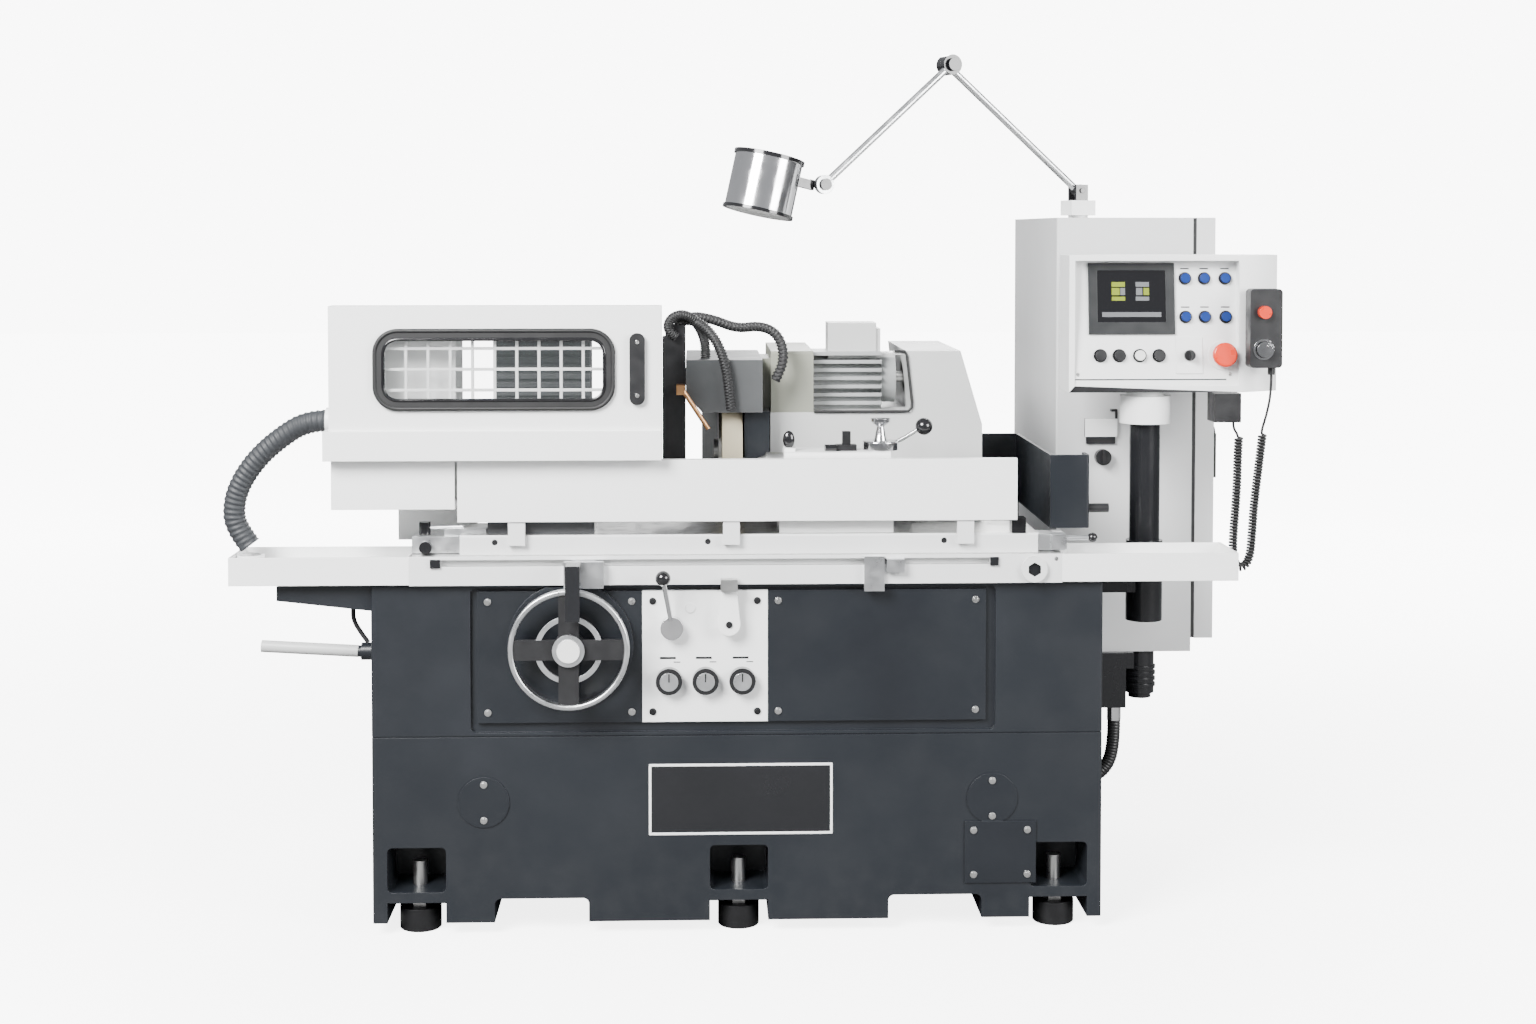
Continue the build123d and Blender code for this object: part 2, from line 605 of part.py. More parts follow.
def conduit_foot():
    """Where the conduit stands over the left tray."""
    return TRAY_LEFT + 34, 68


def conduit_route():
    """Hand-placed route of the conduit, from the shroud down to the tray."""
    x, y = SHROUD_X[0], 68
    z = AXIS_Z
    foot = conduit_foot()
    return [(x - 24, y, z + 107), (x - 72, y, z + 107), (x - 141, y, z + 62), (x - 192, y, z + 15),
            (x - 231, y, z - 42), (x - 248, y, z - 97), (x - 243, y, z - 149), (foot[0], y, TABLE_TOP + 16)]


def conduit():
    """Thick hose that carries the workhead cables, held at both ends."""
    return bent_tube(conduit_route(), CONDUIT_RADIUS, "conduit")


def workhead_body():
    """Workhead casting on its foot, with the drive motor on top."""
    y = HEAD_Y
    foot = block(WORKHEAD_X, y, (SWIVEL_TOP, SWIVEL_TOP + 40))
    body = block((WORKHEAD_X[0] + 10, WORKHEAD_X[1]), y, (SWIVEL_TOP + 40, AXIS_Z + 110))
    body = fillet(body.edges().filter_by(Axis.X).group_by(Axis.Z)[-1], 14)
    casting = foot + body
    casting -= rod_x(WORK_Y, AXIS_Z, WORK_SPINDLE + FIT, (WORKHEAD_X[1] - 130, WORKHEAD_X[1]))
    drive = block((WORKHEAD_X[0] + 20, WORKHEAD_X[1] - 10), (y[0] + 6, y[1] - 6),
                  (AXIS_Z + 108, AXIS_Z + 335))
    for step in range(9):
        z = AXIS_Z + 140 + 20 * step
        drive -= block((WORKHEAD_X[0] + 20, WORKHEAD_X[1] - 10), (y[0] + 6, y[0] + 14), (z, z + 9))
    return casting + drive


def work_spindle():
    """Work spindle with its faceplate, driving pin and centre."""
    x = WORKHEAD_X[1]
    spindle = rod_x(WORK_Y, AXIS_Z, WORK_SPINDLE, (x - 129, x + 12))
    plate = rod_x(WORK_Y, AXIS_Z, FACEPLATE_RADIUS, (x + 3, x + 50)) + spindle
    for turn in range(6):
        angle = radians(60 * turn)
        y, z = WORK_Y + 52 * cos(angle), AXIS_Z + 52 * sin(angle)
        plate -= rod_x(y, z, 5, (x + 20, x + 50))
    nose = rod_x(WORK_Y, AXIS_Z, 22, (x + 50, x + 75))
    tip = Pos(x + 115, WORK_Y, AXIS_Z) * Rot(0, 90, 0) * Cone(22, 1, 80)
    return plate + nose + tip


def tailstock_body():
    """Tailstock casting with the quill bore, its small levers and the clamp ring's seat."""
    x, y = TAILSTOCK_X, HEAD_Y
    foot = block(x, y, (SWIVEL_TOP, SWIVEL_TOP + 40))
    body = block((x[0] + 12, x[1] - 6), y, (SWIVEL_TOP + 40, TAILSTOCK_TOP))
    body = fillet(body.edges().filter_by(Axis.X).group_by(Axis.Z)[-1], 10)
    casting = foot + body
    casting -= rod_x(WORK_Y, AXIS_Z, QUILL_RADIUS + FIT, (x[0], x[1] - 40))
    casting -= rod_z(CLAMP_X, WORK_Y, CLAMP_STEM + FIT, (AXIS_Z + QUILL_RADIUS, TAILSTOCK_TOP))
    top = TAILSTOCK_TOP
    stop = (block((252, 272), (WORK_Y - 22, WORK_Y - 2), (top, top + 46))
            + block((236, 286), (WORK_Y - 30, WORK_Y + 6), (top, top + 14)))
    grip = bar((208, WORK_Y - 40, top + 9), (250, WORK_Y - 34, top + 9), 8)
    grip -= block((236, 290), (WORK_Y - 60, WORK_Y), (top, top + 40))
    seat = block((x[0] + 12, 137), (WORK_Y - 40, WORK_Y + 10), (top, top + 8))
    knob = Pos(122, WORK_Y - 24, top + 27) * Sphere(20)
    knob = scale(knob, by=(0.72, 0.5, 1.1))
    knob = Pos(122 - knob.center().X, WORK_Y - 24 - knob.center().Y, top + 27 - knob.center().Z) * knob
    neck = rod_z(122, WORK_Y - 24, 5, (top + 8, top + 12))
    return group(casting, stop, grip, seat, knob + neck)


def tailstock_quill():
    """Sliding quill with its dead centre."""
    x = TAILSTOCK_X[0]
    quill = rod_x(WORK_Y, AXIS_Z, QUILL_RADIUS, (x - 30, TAILSTOCK_X[1] - 66))
    return quill + Pos(x - 54, WORK_Y, AXIS_Z) * Rot(0, -90, 0) * Cone(20, 1, 48)


def tailstock_lever():
    """Ring and ball lever that draws the quill back."""
    top = TAILSTOCK_TOP + GAP
    ring = (rod_z(CLAMP_X, WORK_Y, 44, (top, top + 22))
            - rod_z(CLAMP_X, WORK_Y, CLAMP_STEM + FIT, (top, top + 22)))
    ring = fillet(ring.edges().filter_by(GeomType.CIRCLE).group_by(Axis.Z)[-1].sort_by(SortBy.LENGTH)[-1],
                  4)
    arm = bar((CLAMP_X + 30, WORK_Y, top + 14), (CLAMP_X + 62, WORK_Y, top + 30), 5)
    arm += bar((CLAMP_X + 60, WORK_Y, top + 29), (CLAMP_X + 92, WORK_Y, top + 49), 5)
    return ring + arm + Pos(CLAMP_X + 106, WORK_Y, top + 56) * Sphere(21)


def tailstock_clamp():
    """Clamp knob whose stem passes down through the lever's ring."""
    top = TAILSTOCK_TOP + 2 * GAP + 22
    stem = rod_z(CLAMP_X, WORK_Y, CLAMP_STEM, (AXIS_Z + QUILL_RADIUS + 1, top))
    profile = [(0, 0), (17, 0), (13, 14), (9, 34), (20, 42), (24, 46), (24, 53), (0, 53)]
    face = Plane.XZ * make_face(Polyline(*profile, close=True))
    return stem + Pos(CLAMP_X, WORK_Y, top) * revolve(face, Axis.Z)


def sliding_door():
    """Sheet door with a window opening, folded edges, skirt, glides, grille and pull handle."""
    x = DOOR_X
    skin = block(x, (DOOR_FRONT, DOOR_FRONT + SHEET), (SKIRT_TOP, DOOR_TOP))
    skin += block(x, (DOOR_FRONT, DOOR_BACK), (DOOR_TOP - SHEET, DOOR_TOP))
    for edge in (x[0], x[1] - SHEET):
        skin += block((edge, edge + SHEET), (DOOR_FRONT, DOOR_BACK), (SKIRT_TOP, DOOR_TOP))
    skirt = block((x[0] - 14, x[1]), (DOOR_FRONT - 8, DOOR_BACK), (DOOR_BOTTOM, SKIRT_TOP))
    skirt -= block((x[0] - 14 + SHEET, x[1] - SHEET), (DOOR_FRONT - 8 + SHEET, DOOR_BACK),
                   (DOOR_BOTTOM + SHEET, SKIRT_TOP - SHEET))
    door = skin + skirt
    opening = [(low + SEAL, high - SEAL) for low, high in (WINDOW_X, WINDOW_Z)]
    door -= rounded(opening[0], (DOOR_FRONT, DOOR_FRONT + SHEET), opening[1], WINDOW_CORNER - SEAL)
    for glide in (x[0] + 60, x[1] - 60):
        door += block((glide - 20, glide + 20), (-16, -4), (GUARD_TOP + FIT, DOOR_BOTTOM))
    grille = []
    back = (DOOR_FRONT + SHEET + 8, DOOR_FRONT + SHEET + 14)
    for step in range(-5, 6):
        middle = (WINDOW_X[0] + WINDOW_X[1]) / 2 + 52 * step
        grille.append(block((middle - 3.5, middle + 3.5), back, (WINDOW_Z[0] + 8, WINDOW_Z[1] - 8)))
    for step in (-1, 0, 1):
        middle = (WINDOW_Z[0] + WINDOW_Z[1]) / 2 + 49 * step
        grille.append(block((WINDOW_X[0] + 10, WINDOW_X[1] - 10), back, (middle - 3.5, middle + 3.5)))
    frame = block((WINDOW_X[0] + 2, WINDOW_X[1] - 2), (DOOR_FRONT + SHEET, back[1]),
                  (WINDOW_Z[0] + 2, WINDOW_Z[1] - 2))
    frame -= block((WINDOW_X[0] + 10, WINDOW_X[1] - 10), (DOOR_FRONT + SHEET, back[1]),
                   (WINDOW_Z[0] + 10, WINDOW_Z[1] - 10))
    for piece in grille:
        frame += piece
    pull = rounded((-258, -222), (DOOR_FRONT - 12, DOOR_FRONT), (DOOR_BOTTOM + 131, DOOR_BOTTOM + 300), 17)
    return group(door, frame, pull)


def door_window():
    """Rubber seal and clear pane of the sliding door."""
    front = (DOOR_FRONT - 8, DOOR_FRONT)
    inner = [(low + SEAL, high - SEAL) for low, high in (WINDOW_X, WINDOW_Z)]
    seal = (rounded(WINDOW_X, front, WINDOW_Z, WINDOW_CORNER)
            - rounded(inner[0], front, inner[1], WINDOW_CORNER - SEAL))
    pane = rounded(inner[0], (DOOR_FRONT - 4, DOOR_FRONT + SHEET), inner[1], WINDOW_CORNER - SEAL)
    return group(seal, pane)


# ---- wheelhead --------------------------------------------------------------------------------------

def wheelhead_slide():
    """Carriage with lips that straddle both rails."""
    rail_top = BED_TOP + RAIL_HEIGHT
    slide = block((RAIL_X[0] - 80, RAIL_X[1] + 80), (310, 1040), (rail_top + FIT, HEAD_SLIDE_TOP))
    for x in RAIL_X:
        for side in (-1, 1):
            inner = x + side * (RAIL_HALF + FIT)
            lip = sorted((inner, inner + side * 40))
            slide += block(lip, (310, 1040), (rail_top - 26, rail_top + 5))
    return slide


def wheelhead_housing():
    """Spindle housing: lower casting with the spindle bore and the upper grey block."""
    lower = block((CHEEK_X[1], 440), (290, 750), (HEAD_SLIDE_TOP, AXIS_Z + 95))
    lower -= rod_x(WHEEL_Y, AXIS_Z, WHEEL_SPINDLE + FIT, (CHEEK_X[1], 440))
    upper = block((CHEEK_X[1] + 6, MOTOR_X[0] - 2), (270, 700), (DECK_Z, COVER_TOP))
    upper += block((HOOD_X[1] + 1, CHEEK_X[1] + 6), (300, 500), (HOOD_Z[0], COVER_TOP - 20))
    return group(lower, fillet(upper.edges().filter_by(Axis.X).group_by(Axis.Z)[-1], 8))


def cover_outline(shrink):
    """Front outline of the pale cover, drawn in by a wall thickness."""
    s = shrink
    x, right, low, high = COVER_X[0] + s, COVER_X[1] - s, HEAD_SLIDE_TOP, COVER_TOP - s
    return [(x, low), (right, low), (right, AXIS_Z + 76), (right - 55, high), (425 + s, high),
            (441 + s, DECK_Z - s), (x, DECK_Z - s)]


def wheelhead_cover():
    """Pale sheet cover of the wheelhead, with a sloping right side and a step for the motor."""
    shell = across(cover_outline(0), COVER_Y)
    shell -= across(cover_outline(COVER_SHEET), (COVER_Y[0] + COVER_SHEET, COVER_Y[1] - COVER_SHEET))
    shell += block((392, 440), (COVER_Y[0], COVER_Y[0] + COVER_SHEET), (COVER_TOP - 10, COVER_TOP))
    shell -= block((COVER_X[0], 440), (COVER_Y[0], 300), (HEAD_SLIDE_TOP - 1, AXIS_Z - 40))
    shell -= rod_x(MOTOR_Y, MOTOR_Z, 40, (415, 470))
    cut = block((COVER_X[0] - 1, COVER_X[0] + COVER_SHEET), (288, 752), (HEAD_SLIDE_TOP - 1, AXIS_Z + 96))
    return shell - cut


def wheel_guard():
    """Dark hood over the wheel, with its right cheek and rear plate."""
    x = HOOD_X
    hood = across([(x[0], HOOD_Z[0] + 45), (x[0], HOOD_Z[1]), (x[1], HOOD_Z[1]), (x[1], HOOD_Z[0]),
                   (x[0] + 40, HOOD_Z[0])],
                  (HOOD_FRONT, 612))
    rear = block((x[0] + 40, CHEEK_X[0] + 2), (598, 612), (AXIS_Z - 140, HOOD_Z[0]))
    cheek = block(CHEEK_X, (200, 612), (HEAD_SLIDE_TOP, HOOD_Z[0]))
    guard = hood + rear + cheek
    guard -= rod_x(WHEEL_Y, AXIS_Z, WHEEL_RADIUS + 12, (WHEEL_X[0] - 24, CHEEK_X[0]))
    return guard - rod_x(WHEEL_Y, AXIS_Z, WHEEL_SPINDLE + FIT, CHEEK_X)


def drive_motor():
    """Finned motor on the deck with its end bell, feet and terminal box."""
    x, y, z = MOTOR_X, MOTOR_Y, MOTOR_Z
    body = rod_x(y, z, 62, x)
    for step in range(7):
        level = DECK_Z + 12 + 21 * step
        body += block((x[0] + 2, x[1]), (y - 82, y + 82), (level, level + 9))
    body += block((x[0], x[1]), (y - 60, y + 60), (DECK_Z, DECK_Z + 30))
    bell = rod_x(y, z, 66, (x[1], x[1] + 38))
    box = (block((236, 360), (y - 55, y + 55), (z + 50, z + 141))
           + block((360, 371), (y - 50, y + 50), (z + 50, z + 126)))
    return body + bell + box - rod_x(y, z, MOTOR_SHAFT + FIT, (x[0] + 30, x[1] + 38))


def motor_pulley():
    """Motor shaft with its belt pulley."""
    shaft = rod_x(MOTOR_Y, MOTOR_Z, MOTOR_SHAFT, (MOTOR_X[0] + 31, BELT_X[1] + 4))
    return shaft + rod_x(MOTOR_Y, MOTOR_Z, DRIVE_PULLEY, BELT_X)


def wheel_spindle():
    """Grinding spindle with wheel flanges, nut and rear pulley."""
    y, z = WHEEL_Y, AXIS_Z
    spindle = rod_x(y, z, WHEEL_SPINDLE, (WHEEL_X[0] - 8, BELT_X[1] + 6))
    spindle += rod_x(y, z, 100, (WHEEL_X[1], WHEEL_X[1] + 4))
    spindle += rod_x(y, z, WHEEL_BORE, (WHEEL_X[0], WHEEL_X[1]))
    spindle += (rod_x(y, z, 100, (WHEEL_X[0] - 8, WHEEL_X[0]))
                + rod_x(y, z, 28, (WHEEL_X[0] - 20, WHEEL_X[0] - 8)))
    return spindle + rod_x(y, z, SPINDLE_PULLEY, BELT_X)


def grinding_wheel():
    """Abrasive wheel between the flanges."""
    wheel = rod_x(WHEEL_Y, AXIS_Z, WHEEL_RADIUS, WHEEL_X)
    return wheel - rod_x(WHEEL_Y, AXIS_Z, WHEEL_BORE, WHEEL_X)


def belt_outline(extra):
    """Outline of a belt run round both pulleys at a distance from them."""
    low = Pos(WHEEL_Y, AXIS_Z) * Circle(SPINDLE_PULLEY + extra)
    high = Pos(MOTOR_Y, MOTOR_Z) * Circle(DRIVE_PULLEY + extra)
    return Plane.YZ.offset(BELT_X[0] + 3) * make_hull((low + high).edges())


def drive_belt():
    """Flat belt from the motor to the grinding spindle."""
    width = BELT_X[1] - BELT_X[0] - 6
    outer = extrude(belt_outline(GAP + 5), width, dir=(1, 0, 0))
    return outer - extrude(belt_outline(GAP), width, dir=(1, 0, 0))


def hose_routes():
    """Hand-placed routes of the coolant hoses, from the valve column over the hood."""
    z = AXIS_Z
    top, y = HOOD_Z[1], HOOD_FRONT
    front = [(-150, y + 50, z + 330), (-132, y + 44, z + 344), (-92, y + 30, z + 336),
             (-56, y + 4, z + 300),
             (-34, y - 17, z + 252), (-22, y - 19, z + 190), (-16, y - 18, z + 122)]
    over = [(-150, y + 82, z + 330), (-120, y + 84, z + 352), (-60, y + 86, z + 342), (0, y + 84, z + 318),
            (56, y + 80, z + 326), (98, y + 62, z + 310), (116, y + 44, z + 268), (112, y + 34, z + 224),
            (94, y + 36, z + 192)]
    loop = [(-150, y + 18, z + 300), (-176, y + 14, z + 322), (-150, y + 14, z + 352),
            (-104, y + 26, z + 342),
            (-78, y + 70, z + 292), (-78, y + 70, top)]
    return [front, over, loop]


def coolant_hoses():
    """Valve column, three braided hoses and the copper coolant nozzle."""
    z, y = AXIS_Z, HOOD_FRONT
    column = block((-185, -128), (y + 28, y + 110), (z - 20, z + 300))
    column += block((-185, -100), (y + 20, y + 120), (z - 60, z - 20))
    column += block((-178, -128), (y + 34, y + 104), (z + 300, z + 330))
    arm = block((-128, HOOD_X[0]), (y + 50, y + 90), (z + 180, z + 220))
    pieces = [column + arm]
    pieces += [bent_tube(route, HOSE_RADIUS, "hose") for route in hose_routes()]
    nozzle = bar((-136, y - 12, z + 174), (-72, y - 14, z + 76), 6)
    holder = block((-150, -130), (y - 20, y + 28), (z + 160, z + 184))
    pieces.append(holder + nozzle)
    return group(*pieces)


# ---- right side -------------------------------------------------------------------------------------

def splash_guard():
    """U-shaped splash guard fixed to the bed, with a small handle."""
    low, high = SWIVEL_TOP + 3, GUARD_TOP
    t, left, right = SPLASH_SHEET, SPLASH_LEFT, SPLASH_RIGHT
    guard = block((left, right), (SPLASH_BACK - t, SPLASH_BACK), (BED_TOP, high))
    guard += block((left, right), (SPLASH_BACK, SPLASH_BACK + 50), (BED_TOP, BED_TOP + 8))
    guard += block((right - t, right), (SPLASH_FRONT, SPLASH_BACK), (low, high))
    guard += block((right - t, right + 88), (SPLASH_FRONT, SPLASH_FRONT + t), (low, high))
    guard += block((right + 80, right + 88), (SPLASH_FRONT, SPLASH_FRONT + 60), (low, high))
    corner = guard.edges().filter_by(Axis.Z).sort_by_distance((right + 88, SPLASH_FRONT,
                                                               (low + high) / 2))[0]
    guard = fillet(corner, 7)
    return guard + rod_x(SPLASH_FRONT + 30, low + 45, 11, (right + 86, right + 140))


def cabinet_right():
    """Right face of the cabinet body."""
    return CABINET_LEFT + CABINET_WIDTH


def hinge_axis():
    """Where the cabinet door's hinge pins stand."""
    return cabinet_right() + DOOR_SEAL + CABINET_DOOR + 4, CABINET_Y[1] + 9


def cabinet_body():
    """Sheet cabinet open at its right side, with its mounting plate, devices and hinge pins."""
    x, y, z, t = (CABINET_LEFT, cabinet_right()), CABINET_Y, CABINET_Z, CABINET_SHEET
    shell = block(x, y, z)
    shell = fillet(shell.edges().filter_by(Axis.Z).group_by(Axis.Y)[0].sort_by(Axis.X)[0], 5)
    shell -= block((x[0] + t, x[1] - t), (y[0] + t, y[1] - t), (z[0] + t, z[1] - t))
    shell -= block((x[1] - t, x[1]), (y[0] + 30, y[1] - 30), (z[0] + 30, z[1] - 30))
    axis = hinge_axis()
    for level in HINGE_Z:
        leaf = block((x[1] - 20, axis[0]), (y[1], y[1] + 5), (level - 30, level))
        shell += (leaf + rod_z(*axis, 9, (level - 30, level))
                  + rod_z(*axis, HINGE_PIN, (level - 30, level + 30)))
    hasp = block((POST_X - 113, POST_X - 27), (y[0] - 12, y[0]), (1140, 1189))
    hasp += block((POST_X - 109, POST_X - 31), (y[0] - 8, y[0]), (1121, 1140))
    hook = (block((POST_X - 34, POST_X - 28), (y[0] - 20, y[0] - 14), (1189, 1214))
            + block((POST_X - 44, POST_X - 28), (y[0] - 20, y[0]), (1208, 1214)))
    shell -= rod_y(*SWITCH, CONTROL_SHAFT + FIT, (y[0], y[0] + t))
    board = block((x[0] + t, x[0] + t + 4), (y[0] + 60, y[1] - 60), (z[0] + 60, z[1] - 60))
    devices = []
    for row, count in ((0, 9), (1, 9), (2, 6)):
        for column in range(count):
            near = y[0] + 80 + column * (570 // count)
            level = z[0] + 420 + row * 220
            devices.append(block((x[0] + t + 4, x[0] + t + 84), (near, near + 570 // count - 6),
                                 (level, level + 90)))
    transformer = block((x[0] + t + 4, x[0] + t + 154), (y[0] + 100, y[0] + 320), (z[0] + 100, z[0] + 280))
    inverter = block((x[0] + t + 4, x[0] + t + 174), (y[0] + 360, y[0] + 620), (z[0] + 90, z[0] + 340))
    return group(shell + hasp, hook, board, transformer, inverter, *devices)


def main_switch():
    """Round main switch on the cabinet front."""
    face = CABINET_Y[0]
    knob = (rod_y(*SWITCH, 21, (face - 24, face - 1))
            + block((SWITCH[0] - 4, SWITCH[0] + 4), (face - 32, face - 24),
                    (SWITCH[1] - 19, SWITCH[1] + 19)))
    return knob + rod_y(*SWITCH, CONTROL_SHAFT, (face - 1, face + 12))


def cabinet_door():
    """Folded door on the right side with its rubber seal and hinge knuckles."""
    near = cabinet_right() + DOOR_SEAL
    x, y, z = (near, near + CABINET_DOOR), (CABINET_Y[0] + 3, CABINET_Y[1] - 3), (CABINET_Z[0] + 35,
                                                                                  CABINET_Z[1])
    door = (block(x, y, z)
            - block((x[0], x[1] - SHEET), (y[0] + SHEET, y[1] - SHEET), (z[0] + SHEET, z[1] - SHEET)))
    door += (block((x[0], x[1]), (y[0], y[0] + 26), (z[0], z[1]))
             - block((x[0] + SHEET, x[1] - SHEET), (y[0] + SHEET, y[0] + 26), (z[0] + SHEET, z[1] - SHEET)))
    door -= rod_x(*LATCH, CONTROL_SHAFT + FIT, (x[1] - SHEET, x[1]))
    seal = block((cabinet_right() + GAP, x[0]), (y[0] + 1, y[1] - 1), (z[0] + 1, z[1] - 1))
    seal -= block((cabinet_right() + GAP, x[0]), (y[0] + 14, y[1] - 14), (z[0] + 14, z[1] - 14))
    axis = hinge_axis()
    for level in HINGE_Z:
        low, high = level + GAP, level + 30
        knuckle = (rod_z(*axis, 9, (low, high))
                   + block((axis[0] - 9, axis[0] - 4), (y[1] - 1, axis[1]), (low, high)))
        door += knuckle - rod_z(*axis, HINGE_PIN + FIT, (low, high))
    return group(door, seal)


def door_latch():
    """Swing handle of the cabinet door, with its cam inside."""
    outer = cabinet_right() + DOOR_SEAL + CABINET_DOOR
    y, z = LATCH
    latch = (rod_x(y, z, 18, (outer + 1, outer + 14))
             + block((outer + 6, outer + 18), (y - 11, y + 11), (z - 120, z)))
    latch += rod_x(y, z, CONTROL_SHAFT, (outer - 14, outer + 1))
    return latch + block((outer - 14, outer - 6), (y - 12, y + 12), (z - 30, z + 12))


def panel_post():
    """Post in its clamped sleeve, with the bracket to the bed and the swivel pin on top."""
    high = COLLAR_Z[0]
    post = (rod_z(POST_X, POST_Y, POST_RADIUS, (SLEEVE_Z[0] + 8, high))
            + rod_z(POST_X, POST_Y, POST_PIN, (high, COLLAR_Z[1] - 6)))
    sleeve = (rod_z(POST_X, POST_Y, SLEEVE_RADIUS, SLEEVE_Z)
              - rod_z(POST_X, POST_Y, POST_RADIUS, (SLEEVE_Z[0] + 8, SLEEVE_Z[1])))
    arm = block((BED_LENGTH / 2, POST_X - 30), (POST_Y - 40, POST_Y + 40), (768, 800))
    arm += block((BED_LENGTH / 2, BED_LENGTH / 2 + 14), (POST_Y - 60, POST_Y + 60), (720, 820))
    return group(post, sleeve + (arm - rod_z(POST_X, POST_Y, SLEEVE_RADIUS - 2, (760, 810))))


def hydraulic_unit():
    """Pump blocks, motor and fitting under the cabinet."""
    side, y = CABINET_LEFT, (540, 680)
    low = CABINET_Z[0]
    blocks = (block((side, side + 209), y, (low - 42, low))
              + block((side, side + 188), (y[0], y[1] - 20), (low - 147, low - 42)))
    motor = (rod_z(side + 239, 610, 38, (low - 118, low))
             + rod_z(side + 239, 610, 30, (low - 131, low - 118)))
    for step in range(4):
        motor += rod_z(side + 239, 610, 42, (low - 100 + 16 * step, low - 92 + 16 * step))
    motor -= block((side, side + 209), y, (low - 42, low))
    nut = Pos(*FITTING, low - 195) * extrude(RegularPolygon(19, 6), 48)
    port = block((side, side + 46), (590, 630), (HOSE_PORT_Z, HOSE_PORT_Z + 30))
    port += (rod_x(610, RETURN_PORT_Z, 12, (side, side + 16))
             + rod_z(side + 24, 610, 21, (HOSE_PORT_Z, HOSE_PORT_Z + 14)))
    tail = rod_z(FITTING[0] - 60, FITTING[1], 10, (low - 165, low - 147))
    return group(blocks, motor, nut, port, tail)


def hydraulic_hose():
    """Two hoses that loop from the pump fittings back to the bed."""
    low, side = CABINET_Z[0], CABINET_LEFT
    x, y = FITTING
    drop = [(0, 195), (0, 270), (-22, 330), (-73, 358), (-124, 332), (-146, 290)]
    thick = [(x + step, y, low - depth) for step, depth in drop] + [(x - 146, y, HOSE_PORT_Z)]
    thin = [(x - 60, y, low - 165), (x - 60, y, low - 191), (x - 88, y, RETURN_PORT_Z),
            (side + 16, y, RETURN_PORT_Z)]
    return group(bent_tube(thick, 18, "hydraulic hose"), bent_tube(thin, 8, "return hose"))


# ---- panel ------------------------------------------------------------------------------------------


def on_fascia(x, z):
    """A plane on the leaning fascia, its Z direction towards the operator."""
    deep = PANEL_Y[0] + 3 + LEAN * (z - FASCIA_Z[0]) / (FASCIA_Z[1] - FASCIA_Z[0])
    out = (0, -cos(radians(TILT)), sin(radians(TILT)))
    return Plane(origin=(x, deep, z), x_dir=(1, 0, 0), z_dir=out)


def stub(x, z, radius, low, high):
    """A round piece square to the fascia, between two heights over it."""
    return extrude(on_fascia(x, z).offset(low) * Circle(radius), high - low)


def tile(x, z, width, height, low, high):
    """A rectangular piece square to the fascia, between two heights over it."""
    return extrude(on_fascia(x, z).offset(low) * Rectangle(width, height), high - low)


def panel_box():
    """Panel case with its leaning fascia, screen, blue lights, bezels, collar, socket and hook."""
    y, low, high = PANEL_Y, PANEL_BOTTOM, PANEL_TOP
    outline = [(PANEL_LEFT, y[0]), (PANEL_EDGE, y[0]), (PANEL_WING, y[0] + 52), (PANEL_WING, y[1]),
               (PANEL_LEFT, y[1])]
    case = upright(outline, (low, high))
    f = (y[0] + 3, y[0] + 3 + LEAN)
    case -= along([(y[0] - 1, FASCIA_Z[0]), (f[0], FASCIA_Z[0]), (f[1], FASCIA_Z[1]),
                   (y[0] - 1, FASCIA_Z[1])], FASCIA_X)
    t = PANEL_SHEET
    case -= along([(f[0] + t, low + t), (f[0] + t, FASCIA_Z[0]), (f[1] + t, high - t),
                   (y[1] - t, high - t), (y[1] - t, low + t)],
                  (PANEL_LEFT + t, PANEL_EDGE - t))
    collar = rod_z(POST_X, POST_Y, COLLAR_RADIUS, (COLLAR_Z[0] + GAP, COLLAR_Z[1]))
    collar += rod_z(POST_X, POST_Y, 48, (COLLAR_Z[1], low))
    collar -= rod_z(POST_X, POST_Y, POST_PIN + FIT, (COLLAR_Z[0], COLLAR_Z[1] - 5))
    case += collar
    for x in BUTTON_X:
        case -= stub(x, BUTTON_Z, BUTTON_STEM + FIT, -t - 2, 1)
        case += stub(x, BUTTON_Z, BUTTON_RADIUS + 3, 0, 3) - stub(x, BUTTON_Z, BUTTON_RADIUS - 1, 0, 3)
    for x in (KEY_X, STOP_X):
        case -= stub(x, BUTTON_Z, BUTTON_STEM + FIT, -t - 2, 1)
    case += tile(KEY_X, BUTTON_Z, 68, 92, 0, 2) - stub(KEY_X, BUTTON_Z, BUTTON_STEM + FIT, 0, 2)
    case += stub(STOP_X, BUTTON_Z, STOP_RADIUS + 6, 0, 2) - stub(STOP_X, BUTTON_Z, BUTTON_STEM + FIT, 0, 2)
    screen = tile(*SCREEN, 0, 6) - tile(SCREEN[0], SCREEN[1] + 6, SCREEN[2] - 46, SCREEN[3] - 50, 4, 6)
    lights = [stub(x, z, 16, 0, 5) + stub(x, z, 12, 5, 12) for x in LIGHT_X for z in LIGHT_Z]
    socket = block(SOCKET_X, (y[0] - 40, y[0] + 40), SOCKET_Z)
    hook = block((PENDANT_X[1] - 34, PENDANT_X[1] + 6), (PENDANT_Y[1], PANEL_Y[0] + 50),
                 (PENDANT_Z[1] - 24, PENDANT_Z[1] - 12))
    hook -= upright(outline, (low, high))
    return group(case, screen, *lights, socket, hook)


